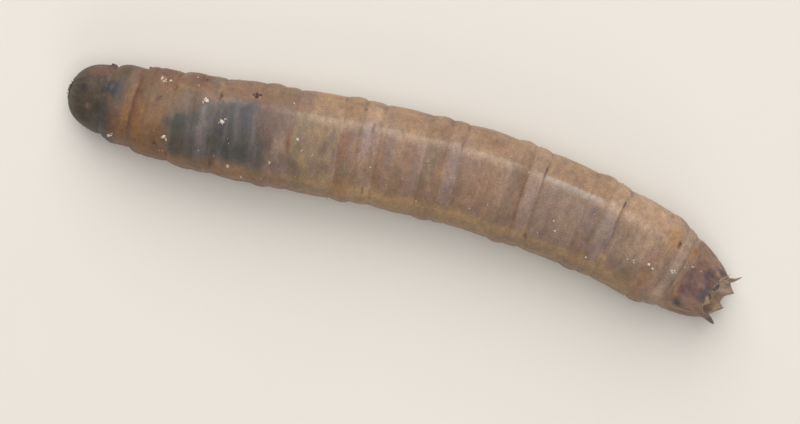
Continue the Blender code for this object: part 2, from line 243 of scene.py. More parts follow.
EDGES, EDGE_DEPTHS, SWELLINGS = ring_edges()


def inset_at(place):
    """How far folds and seams draw the skin in."""
    i = np.clip(np.searchsorted(EDGES, place, side="right") - 1, 0, len(SWELLINGS) - 1)
    share = part((place - EDGES[i]) / (EDGES[i + 1] - EDGES[i]))
    front = EDGE_DEPTHS[i] * (1.0 - share) ** FOLD_SHARPNESS
    back = EDGE_DEPTHS[i + 1] * share ** FOLD_SHARPNESS
    return front + back - SWELLINGS[i] * np.sin(math.pi * share)


def section_sizes(place):
    """Half width, top and bottom of the sections, folds included."""
    width = width_at(place)
    share = draw_in(place)
    inset = inset_at(place)
    front_half = place < 0.5 * BODY_LENGTH
    tip_height = np.where(front_half, HEAD_TIP_HEIGHT, TAIL_HEIGHT)
    half = 0.5 * width * share - inset
    on_back = BACK_SHARE + (TAIL_BACK_SHARE - BACK_SHARE) * smooth(42.0, 44.0, place)
    top = tip_height + (HEIGHT_SHARE * width - tip_height) * share - on_back * inset
    rising = np.clip((place - BELLY_LIFT_START) / (DISC_END - BELLY_LIFT_START), 0.0, None)
    lift = np.where(front_half, HEAD_TIP_HEIGHT * (1.0 - share), BELLY_LIFT * rising ** 2)
    return half, top, inset - BELLY_PRESS * share + lift


def middle_at(place):
    """Height of the middle of the sections."""
    _, top, bottom = section_sizes(place)
    return 0.5 * (top + bottom)


def section_points(place, angle):
    """Across and height of the section's points at angles from its right side, upwards positive."""
    half, top, bottom = section_sizes(place)
    waist = bottom + WAIST_SHARE * (top - bottom)
    upper = np.sin(angle) > 0.0
    power = 2.0 / np.where(upper, UPPER_ROUNDNESS, LOWER_ROUNDNESS)
    reach = np.where(upper, top - waist, waist - bottom)
    return half * rounded(np.cos(angle), power), waist + reach * rounded(np.sin(angle), power)


def frame_offset():
    """Offset from the body line's own start to the frame, found by one node's box."""
    i = NAMES.index("abdomen_4")
    place, angle = np.meshgrid(
        np.linspace(SEAMS[i] + 0.15, SEAMS[i + 1] - 0.15, 60),
        np.linspace(0.0, 2.0 * math.pi, 240),
    )
    across, height = section_points(place, angle)
    points = body_points(place, across, height)
    low, high = (np.array(corner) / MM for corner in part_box("abdomen_4"))
    middle = 0.5 * (points.min(axis=(0, 1)) + points.max(axis=(0, 1)))
    return np.array((*(0.5 * (low + high) - middle)[:2], 0.0))


def add_object(name, data):
    """New object in the scene."""
    piece = bpy.data.objects.new(name, data)
    bpy.context.scene.collection.objects.link(piece)
    return piece


def make_mesh(name, points, faces, offset):
    """Object from points in millimetres and faces."""
    mesh = bpy.data.meshes.new(name)
    mesh.from_pydata(((points + offset) * MM).tolist(), [], faces)
    mesh.validate()
    mesh.shade_smooth()
    return add_object(name, mesh)


def tube_faces(rows, columns):
    """Faces of a closed tube of rings, each end closed round one of the two points after the rings."""
    i, j = np.meshgrid(np.arange(rows - 1), np.arange(columns), indexing="ij")
    k = (j + 1) % columns
    corners = (i * columns + j, i * columns + k, (i + 1) * columns + k, (i + 1) * columns + j)
    faces = [tuple(face) for face in np.stack(corners, axis=-1).reshape(-1, 4).tolist()]
    ends = rows * columns
    last = ends - columns
    for j in range(columns):
        k = (j + 1) % columns
        faces.append((ends, k, j))
        faces.append((ends + 1, last + j, last + k))
    return faces


def closed_tube(rings, ends):
    """Points and faces of a closed tube from its rings and the points in its two ends."""
    return np.concatenate((rings.reshape(-1, 3), ends)), tube_faces(*rings.shape[:2])


def linear(colours):
    """Linear values of sRGB colours."""
    return np.where(colours <= 0.04045, colours / 12.92, ((colours + 0.055) / 1.055) ** 2.4)


def paint(piece, name, colours):
    """Store one colour for each vertex, given as sRGB from 0 to 1."""
    values = np.concatenate((linear(colours), np.ones((len(colours), 1))), axis=1)
    layer = piece.data.color_attributes.new(name, "FLOAT_COLOR", "POINT")
    layer.data.foreach_set("color", values.ravel())


def rgb(red, green, blue):
    """Colour from 0 to 1."""
    return np.array((red, green, blue)) / 255.0


def tint(colours, colour, amount):
    """Mix a colour into one or more colours."""
    amount = np.asarray(part(amount))[..., None]
    return colours * (1.0 - amount) + colour * amount


# Skin: relief
def dorsal_angle(angle):
    """Degrees round the body from the middle of its back, towards the right side positive."""
    return half_turn(90.0 - np.degrees(angle) + BODY_ROLL)


def segment_share(place):
    """Share of its segment's length at each place."""
    i = np.clip(np.searchsorted(SEAMS, place, side="right") - 1, 0, len(NAMES) - 1)
    return part((place - SEAMS[i]) / LENGTHS[i])


def groove(distance, width):
    """Rounded furrow of depth 1."""
    return np.exp(-np.abs(distance / width) ** 1.6)


def cross_lines(place, arc):
    """Depth of seams, folds and fine cross lines, each from 0 to 1."""
    draw = np.random.default_rng(57)
    seams = np.zeros_like(place)
    folds = np.zeros_like(place)
    lines = np.zeros_like(place)

    def swing(cell, seed):
        return noise(arc, arc, cell, cell, seed)

    for k, (_, length, _, _, shares) in enumerate(SEGMENTS):
        start = SEAMS[k]
        if k > 0:
            depth = 0.75 + 0.25 * swing(1.1, 330 + k)
            seams += depth * groove(place - start - 0.07 * swing(1.7, 300 + k), 0.085)
        for m, share in enumerate(shares):
            sway = 0.10 * swing(2.1, 360 + 3 * k + m)
            depth = 0.55 + 0.45 * swing(1.6, 400 + 3 * k + m)
            folds += depth * groove(place - start - share * length - sway, 0.10)
        count = max(2, int(round(length / 0.60)))
        for m in range(1, count):
            middle = start + length * (m + draw.uniform(-0.22, 0.22)) / count
            sway = 0.09 * swing(2.4, 500 + 20 * k + m)
            depth = part(0.45 + 0.75 * swing(2.6, 800 + 20 * k + m))
            lines += depth * groove(place - middle - sway, draw.uniform(0.07, 0.13))
    return np.clip(seams, 0.0, 1.2), np.clip(folds, 0.0, 1.2), np.clip(lines, 0.0, 1.2)


# Knobs and hollows of the front rings: height, place, half length, dorsal angle and half angle
KNOBS = ((0.13, 2.7, 0.22, 88.0, 13.0), (-0.08, 3.02, 0.13, 80.0, 18.0), (0.09, 3.8, 0.3, -76.0, 13.0))

# Pits of each ring: share of its length, angle from the middle of the back, and half angle
PITS = ((0.3, 28.0, 5.0), (0.68, 26.0, 4.0), (0.45, 58.0, 6.0), (0.25, 86.0, 5.0), (0.62, 95.0, 6.0))

# Slack of the skin: height, cell sizes and seed
LUMPS = ((0.05, 2.3, 2.0, 11), (0.022, 0.9, 1.1, 12), (0.007, 0.4, 0.5, 13), (0.004, 0.17, 0.2, 14))


def side_furrow(place):
    """Dorsal angle of the furrow under the side ridge."""
    return 112.0 + 3.0 * np.sin(place * 1.7)


def skin_relief(place, turned, arc, lines):
    """Height of the relief over the smooth section, outwards positive."""
    seams, folds, fine = lines
    flank = np.abs(turned)
    around = np.radians(turned)
    share = segment_share(place)
    body = smooth(0.9, 2.4, place) * (1.0 - smooth(47.6, 48.5, place))
    behind = smooth(6.0, 9.0, place) * body
    back = 1.0 - smooth(95.0, 140.0, flank)
    nicks = bell(flank, 42.0, 7.0)
    # Less relief where the outline lies as seen from above, so that it stays as in the solids
    sides = smooth(56.0, 74.0, flank) * (1.0 - 0.8 * bell(flank, 88.0, 10.0))
    seam_depth = (0.045 - 0.018 * smooth(8.0, 12.0, place)) * (1.0 - 0.6 * smooth(42.0, 44.0, place))
    relief = -seam_depth * seams * (0.30 + 0.70 * nicks + 2.6 * sides) * body
    relief -= 0.014 * folds * body * (1.0 + 3.0 * sides)
    relief -= 0.007 * fine * body * (0.5 + 0.5 * back)
    relief += noises(place, arc, (0.022, 1.3, 0.26, 18), (0.014, 0.30, 0.60, 19)) * sides * body
    # Side ridge of each ring between two furrows, and weak furrows along the pale lines of the back
    ridges = 0.040 * bell(flank, 92.0, 13.0) - 0.120 * bell(flank, side_furrow(place), 8.0)
    ridges -= 0.060 * bell(flank, 74.0 + 4.0 * np.sin(place * 1.3), 7.0)
    relief += ridges * np.sin(math.pi * share) ** 0.7 * behind
    relief += 0.012 * (bell(flank, 37.0, 5.0) - bell(flank, 46.0, 6.0)) * behind
    # Dark knob over the first seam on the right, and a hump behind it on the left
    for height, middle, length, way, width in KNOBS:
        relief += height * bell(place, middle, length) * bell(turned, way, width)
    # Pits where muscles hold the skin
    for spot, way, width in PITS:
        relief -= 0.026 * bell(share, spot, 0.035) * bell(flank, way, width) * behind
    # Walking welts under the front of each ring of the abdomen
    welts = bell(share, 0.10, 0.06) + bell(share, 0.24, 0.06)
    relief += 0.10 * smooth(125.0, 150.0, flank) * welts * behind
    # Slack and small lumps
    relief += noises(place, arc, *LUMPS) * body
    # Puckered skin round the mouth
    waves = 0.016 * np.cos(around * 17.0 + 2.2 * noise(place, arc, 1.6, 1.3, 15))
    relief += (1.0 - smooth(MOUTH_PLACE, 1.1, place)) * (waves + 0.012 * np.cos(around * 9.0 + 1.0))
    # Pleats that run along the last ring towards the disc
    pleats = 0.005 * np.cos(around * 22.0 + 3.0 * noise(place, arc, 1.0, 0.8, 16))
    relief += smooth(46.6, 48.2, place) * (pleats + 0.012 * noise(place, arc, 0.28, 0.30, 17))
    return relief


def ring_places():
    """Places of the skin's rings, closest together at the mouth."""
    mouth = MOUTH_PLACE + 0.55 * np.linspace(0.0, 1.0, 26) ** 1.7
    steps = int((DISC_END - mouth[-1]) / ALONG_STEP)
    return np.concatenate((mouth, np.linspace(mouth[-1], DISC_END, steps + 1)[1:]))


# Ring angles start under the belly, where the seam of the grid can't be seen
ANGLES = circle(AROUND) - 0.5 * math.pi
TURNED = dorsal_angle(ANGLES)
PLACES = ring_places()

# Head capsule, the room round it, and the rings of the lip and of the wall behind the lip. The lip is half
# a circle, with its forward reach in millimetres and its half width as a share of the first ring.
CAPSULE_MIDDLE = 1.25
CAPSULE_HALF = np.array((1.12, 1.02, 0.92))
CAPSULE_ROOM = 0.07
LIP_ROWS = 8
LIP_REACH = 0.075
LIP_SHARE = 0.115
WALL_PLACES = (0.22, 0.34, 0.5, 0.75, 1.1, 1.5, 1.9, 2.15, 2.28, 2.36)

# Lobes round the disc: place across and up, reach, turn across, rise, and width at the root
DISC_LOBES = (
    (1.26, 0.86, 0.36, 0.64, 0.12, 1.06),
    (-0.56, 0.96, 0.46, -0.08, 0.22, 1.02),
    (1.56, 0.0, 0.82, 0.66, 0.1, 1.04),
    (-1.26, -0.06, 1.1, -0.38, 0.06, 1.0),
    (0.82, -0.9, 0.66, 0.16, -0.04, 1.22),
    (-0.42, -0.9, 0.64, 0.14, -0.04, 1.14),
)
DISC_SUNK = 0.24
FIELD_PLACE = DISC_END - DISC_SUNK
LOBE_TAPER = 1.18
LOBE_MIDDLE = 0.87
RIM_REACH = 0.07
DISC_MIDDLE = float(middle_at(np.array([DISC_END]))[0])

# Rows from the rim of the disc to the edge of its lobes, and the rows of the rim and of the edge in the
# skin's grid
LOBE_ROWS = 19
RIM_ROW = LIP_ROWS + len(WALL_PLACES) + len(PLACES) - 1
EDGE_ROW = RIM_ROW + LOBE_ROWS


def body_grid():
    """Rings of the skin from the mouth to the rim of the disc, with relief, and their cross lines."""
    place, angle = np.meshgrid(PLACES, ANGLES, indexing="ij")
    across, height = section_points(place, angle)
    rise = height - middle_at(PLACES)[:, None]
    points = body_points(place - lean_at(place) * rise, across, height)
    turned = np.broadcast_to(TURNED, place.shape)
    arc = np.radians(np.mod(turned + 180.0 - BODY_ROLL, 360.0)) * MEAN_RADIUS
    lines = cross_lines(place, arc)
    relief = skin_relief(place, turned, arc, lines)
    round_way = np.roll(points, -1, axis=1) - np.roll(points, 1, axis=1)
    normal = unit(np.cross(round_way, np.gradient(points, axis=0)))
    outward = np.sum(normal * (points - points.mean(axis=1, keepdims=True)), axis=-1)
    points = points + normal * np.sign(np.sign(outward).mean()) * relief[..., None]
    points[..., 2] = np.maximum(points[..., 2], 0.0)
    return points, place, turned, arc, lines


def mouth_rings(first_ring):
    """Lip that rolls in from the first ring, and the wall round the head capsule, from deep to outer."""
    long_room, wide_room, high_room = CAPSULE_HALF + CAPSULE_ROOM
    lip = first_ring - body_points(MOUTH_PLACE, 0.0, HEAD_TIP_HEIGHT)
    rings = []
    for turn in np.linspace(0.0, math.pi, LIP_ROWS + 1)[1:]:
        centre = body_points(MOUTH_PLACE - LIP_REACH * math.sin(turn), 0.0, HEAD_TIP_HEIGHT)
        rings.append(centre + lip * (1.0 - LIP_SHARE + LIP_SHARE * math.cos(turn)))
    for place in WALL_PLACES:
        reach = math.sqrt(max(1.0 - ((place - CAPSULE_MIDDLE) / long_room) ** 2, 0.0))
        height = HEAD_TIP_HEIGHT + high_room * reach * np.sin(ANGLES)
        wall = body_points(place, wide_room * reach * np.cos(ANGLES), height)
        inside = body_points(place, 0.0, HEAD_TIP_HEIGHT) + lip * (1.0 - 2.0 * LIP_SHARE)
        mix = smooth(0.15, 0.75, place)
        rings.append(inside * (1.0 - mix) + wall * mix)
    return rings[::-1]


def lobe_profile(rim_across, rim_rise):
    """Reach of the lobes along the rim, their mask, and bends outwards and upwards at full reach."""
    polar = np.arctan2(rim_rise, rim_across)
    radius = np.hypot(rim_across, rim_rise)
    reach = np.full_like(polar, RIM_REACH)
    mask = np.zeros_like(polar)
    bend = np.zeros((len(polar), 2))
    length = np.full_like(polar, 1.0)
    for across, rise, lobe_reach, turn, lift, width in DISC_LOBES:
        away = (polar - math.atan2(rise, across) + math.pi) % (2.0 * math.pi) - math.pi
        top = int(np.argmin(np.abs(away)))
        ahead = lobe_reach + DISC_LEAN * (LOBE_MIDDLE * rim_rise[top] - rise)
        off = part(np.abs(away) * radius / (0.5 * width))
        here = off < 1.0
        grown = RIM_REACH + (ahead - RIM_REACH) * (1.0 - off[here]) ** LOBE_TAPER
        reach[here] = np.maximum(reach[here], grown)
        mask[here] = np.maximum(mask[here], 1.0 - smooth(0.25, 1.0, off[here]))
        bend_across = across + turn - LOBE_MIDDLE * rim_across[top]
        bend[here] = (bend_across, rise + lift - LOBE_MIDDLE * rim_rise[top])
        length[here] = ahead
    return reach, mask, bend, length


def disc_rings(rim):
    """Rings from the rim over the lobes to their edge and back down to the sunken field."""
    across, height = section_points(np.full(AROUND, DISC_END), ANGLES)
    rise = height - DISC_MIDDLE
    reach, mask, bend, length = lobe_profile(across, rise)
    inner = 0.80 - (1.8 - 2.0 * LOBE_MIDDLE) * mask
    mid = 0.5 * (1.0 + inner)
    relief = rim - body_points(DISC_END - DISC_LEAN * rise, across, height)
    rings = []
    tags = []

    def add_ring(share, ahead, keep, tag):
        bent = (np.clip(ahead, 0.0, None) / length) ** 2
        place = DISC_END - DISC_LEAN * rise * share + ahead
        a = across * share + bend[:, 0] * bent
        h = DISC_MIDDLE + (rise * share + bend[:, 1] * bent)
        rings.append(body_points(place, a, h) + relief * keep)
        tags.append(tag)

    for t in 1.0 - np.linspace(1.0, 0.0, LOBE_ROWS + 1)[1:] ** 1.5:
        thick = math.sqrt(max(1.0 - t * t, 0.0))
        add_ring(mid + (1.0 - mid) * thick, reach * t, 1.0 - t, (t, 1.0))
    for t in 1.0 - np.linspace(0.0, 1.0, 16)[1:] ** 1.5:
        thick = math.sqrt(max(1.0 - t * t, 0.0))
        add_ring(mid - (mid - inner) * thick, reach * t, 0.0, (t, -1.0))
    ripple = 0.02 * np.cos(7.0 * ANGLES)
    for share in np.linspace(0.0, 1.0, 14)[1:-1]:
        depth = -DISC_SUNK * smooth(0.0, 0.24, share) + ripple * math.sin(math.pi * share)
        add_ring(inner * (1.0 - share), depth, 0.0, (-share, -1.0))
    return rings, tags, body_points(FIELD_PLACE, 0.0, DISC_MIDDLE), reach, mask


# Skin: colour
DARK_HEAD = rgb(78, 62, 50)
HEAD_BROWN = rgb(104, 82, 64)
TAIL_PALE = rgb(188, 158, 134)
BLUE_BLACK = rgb(38, 42, 50)
SPOT_BLUE = rgb(74, 88, 104)
DARK_SLATE = rgb(66, 62, 62)
SPOT_GREY = rgb(84, 86, 88)
RED_BROWN = rgb(108, 74, 60)
MAROON = rgb(84, 50, 44)
BROWN_GREEN = rgb(96, 78, 56)
TAN_BROWN = rgb(126, 93, 64)
AMBER = rgb(138, 100, 56)
ORANGE = rgb(164, 116, 72)
RUST = rgb(122, 72, 44)
TAN = rgb(158, 128, 102)
FLANK_BROWN = rgb(124, 94, 74)
FLANK_SHADE = rgb(147, 118, 90)
BAND = rgb(142, 114, 94)
TEAL = rgb(66, 70, 66)
OLIVE = rgb(98, 88, 66)
GREEN_BLACK = rgb(50, 52, 44)
PURPLE_BLACK = rgb(52, 42, 50)
SLATE = rgb(68, 67, 71)
GREEN_SLATE = rgb(64, 68, 58)
SLATE_BLUE = rgb(60, 66, 80)
# Lilac: partly the skin's own hue and partly a painted reflection on the moist skin
LILAC_HUE_AND_REFLECTION = rgb(150, 131, 128)
GREY_LILAC = rgb(116, 108, 106)
# Pale line: partly a pale line of the skin and partly a painted highlight
PALE_LINE_AND_HIGHLIGHT = rgb(184, 163, 144)
# Pale blue: a painted highlight
PALE_BLUE_HIGHLIGHT = rgb(188, 178, 176)
YELLOW_LINE = rgb(176, 144, 100)
GREEN_TAN = rgb(140, 120, 92)
PINK_BROWN = rgb(138, 104, 82)
GREY_BROWN = rgb(128, 108, 97)
PURPLE = rgb(110, 88, 96)
TAIL_BROWN = rgb(142, 110, 94)
TAIL_PURPLE = rgb(120, 92, 90)
TAIL_DARK = rgb(62, 52, 62)
CREAM = rgb(172, 152, 126)
DISC_PALE = rgb(200, 178, 158)
DISC_BROWN = rgb(150, 122, 102)
DISC_YELLOW = rgb(176, 148, 104)
BELLY = rgb(160, 136, 106)
# Dark colour of the lines in the seams, also used as painted shade in the creases
DARK_LINE_AND_CREASE_SHADE = rgb(60, 42, 34)
# The whole skin is this much warmer than the colours above
WARMTH = np.array((0.985, 0.98, 0.96))

# Dark lines in the seams: place, strength, and the first and last dorsal angle
SEAM_LINES = (
    (7.95, 0.7, 28.0, 46.0),
    (8.02, 0.7, -75.0, -44.0),
    (11.06, 0.8, 36.0, 50.0),
    (11.06, 0.6, -54.0, -38.0),
    (21.95, 0.5, -48.0, -33.0),
    (28.18, 0.42, 28.0, 46.0),
    (28.18, 0.16, -38.0, 28.0),
    (34.1, 0.6, 33.0, 50.0),
    (34.14, 0.16, -8.0, 33.0),
    (39.88, 0.8, 22.0, 50.0),
    (39.96, 0.55, 14.0, 24.0),
    (40.0, 0.25, -8.0, 14.0),
)

# Dark rim in front of the disc: its place on the left, and how much further forwards it is on the right
RIM_PLACE = 48.62
RIM_SLANT = 0.55

# Fields of the skin: colour, strength, first and last place and how soft they are, first and last dorsal
# angle and how soft they are. Where no last place is given, the field is a line across at the first one.
BACK_FIELDS = (
    (BAND, 0.92, 7.8, 46.0, 0.4, -37.0, 33.0, 7.0),
    (GREEN_TAN, 0.7, 16.4, 19.5, 0.2, -50.0, 34.0, 9.0),
    (PINK_BROWN, 0.4, 22.5, 34.2, 0.3, -36.0, 16.0, 16.0),
    (GREY_BROWN, 0.7, 34.2, 40.1, 0.2, -34.0, 34.0, 8.0),
    (GREY_BROWN, 0.35, 40.1, 42.8, 0.5, -26.0, 34.0, 8.0),
)
GUT_FIELDS = (
    (TEAL, 0.88, 8.0, 9.95, 0.3, -42.0, 13.0, 8.0),
    (OLIVE * 0.8, 0.45, 8.0, 9.8, 0.3, -44.0, -12.0, 9.0),
    (BROWN_GREEN, 0.65, 7.9, 9.6, 0.3, 12.0, 40.0, 8.0),
    # Dark line at the fold of the first ring of the abdomen, partly its own dark line and partly painted
    # shade in the fold
    (GREEN_BLACK, 0.35, 9.5, None, 0.24, -40.0, 28.0, 8.0),
    (SLATE, 0.8, 9.75, 11.3, 0.25, -40.0, 32.0, 9.0),
    (GREY_LILAC, 0.22, 9.9, 10.7, 0.25, -20.0, 38.0, 12.0),
    (SLATE, 0.9, 11.1, 13.9, 0.25, -36.0, 38.0, 8.0),
    (SLATE_BLUE, 0.2, 11.4, 13.8, 0.3, 6.0, 36.0, 9.0),
    (SLATE, 0.72, 13.8, 14.7, 0.5, -36.0, 34.0, 9.0),
    (GREEN_SLATE, 0.34, 10.6, 14.4, 0.5, -38.0, 2.0, 12.0),
    (RED_BROWN, 0.5, 13.9, 15.0, 0.25, -6.0, 40.0, 10.0),
    (GREY_BROWN, 0.55, 14.8, 16.3, 0.4, -36.0, 42.0, 9.0),
    (RED_BROWN, 0.25, 14.6, 16.4, 0.4, 6.0, 30.0, 9.0),
    (LILAC_HUE_AND_REFLECTION, 0.25, 15.55, None, 0.22, -30.0, 46.0, 10.0),
)
THORAX_FIELDS = (
    (BROWN_GREEN, 0.7, 2.9, 4.2, 0.3, 20.0, 110.0, 10.0),
    (RED_BROWN, 0.6, 3.5, 4.35, 0.25, -60.0, 30.0, 10.0),
    (RED_BROWN, 0.5, 5.0, 5.45, 0.15, -90.0, 60.0, 12.0),
    (DARK_HEAD, 0.96, -1.0, 2.95, 0.45),
)
TAIL_FIELDS = (
    (TAIL_PALE, 0.52, 38.6, 45.5, 0.6, 24.0, 110.0, 10.0),
    (TAIL_PALE, 0.2, 41.8, 45.5, 0.8, -10.0, 24.0, 12.0),
    # Lilac hind ring of the last ring before the tail, partly a painted reflection
    (LILAC_HUE_AND_REFLECTION, 0.34, 44.4, 45.6, 0.45, -75.0, 75.0, 14.0),
    (TAIL_BROWN, 0.9, 45.8, 60.0, 0.45),
    (TAIL_PURPLE, 0.7, 46.5, 60.0, 0.45, -34.0, 30.0, 14.0),
)

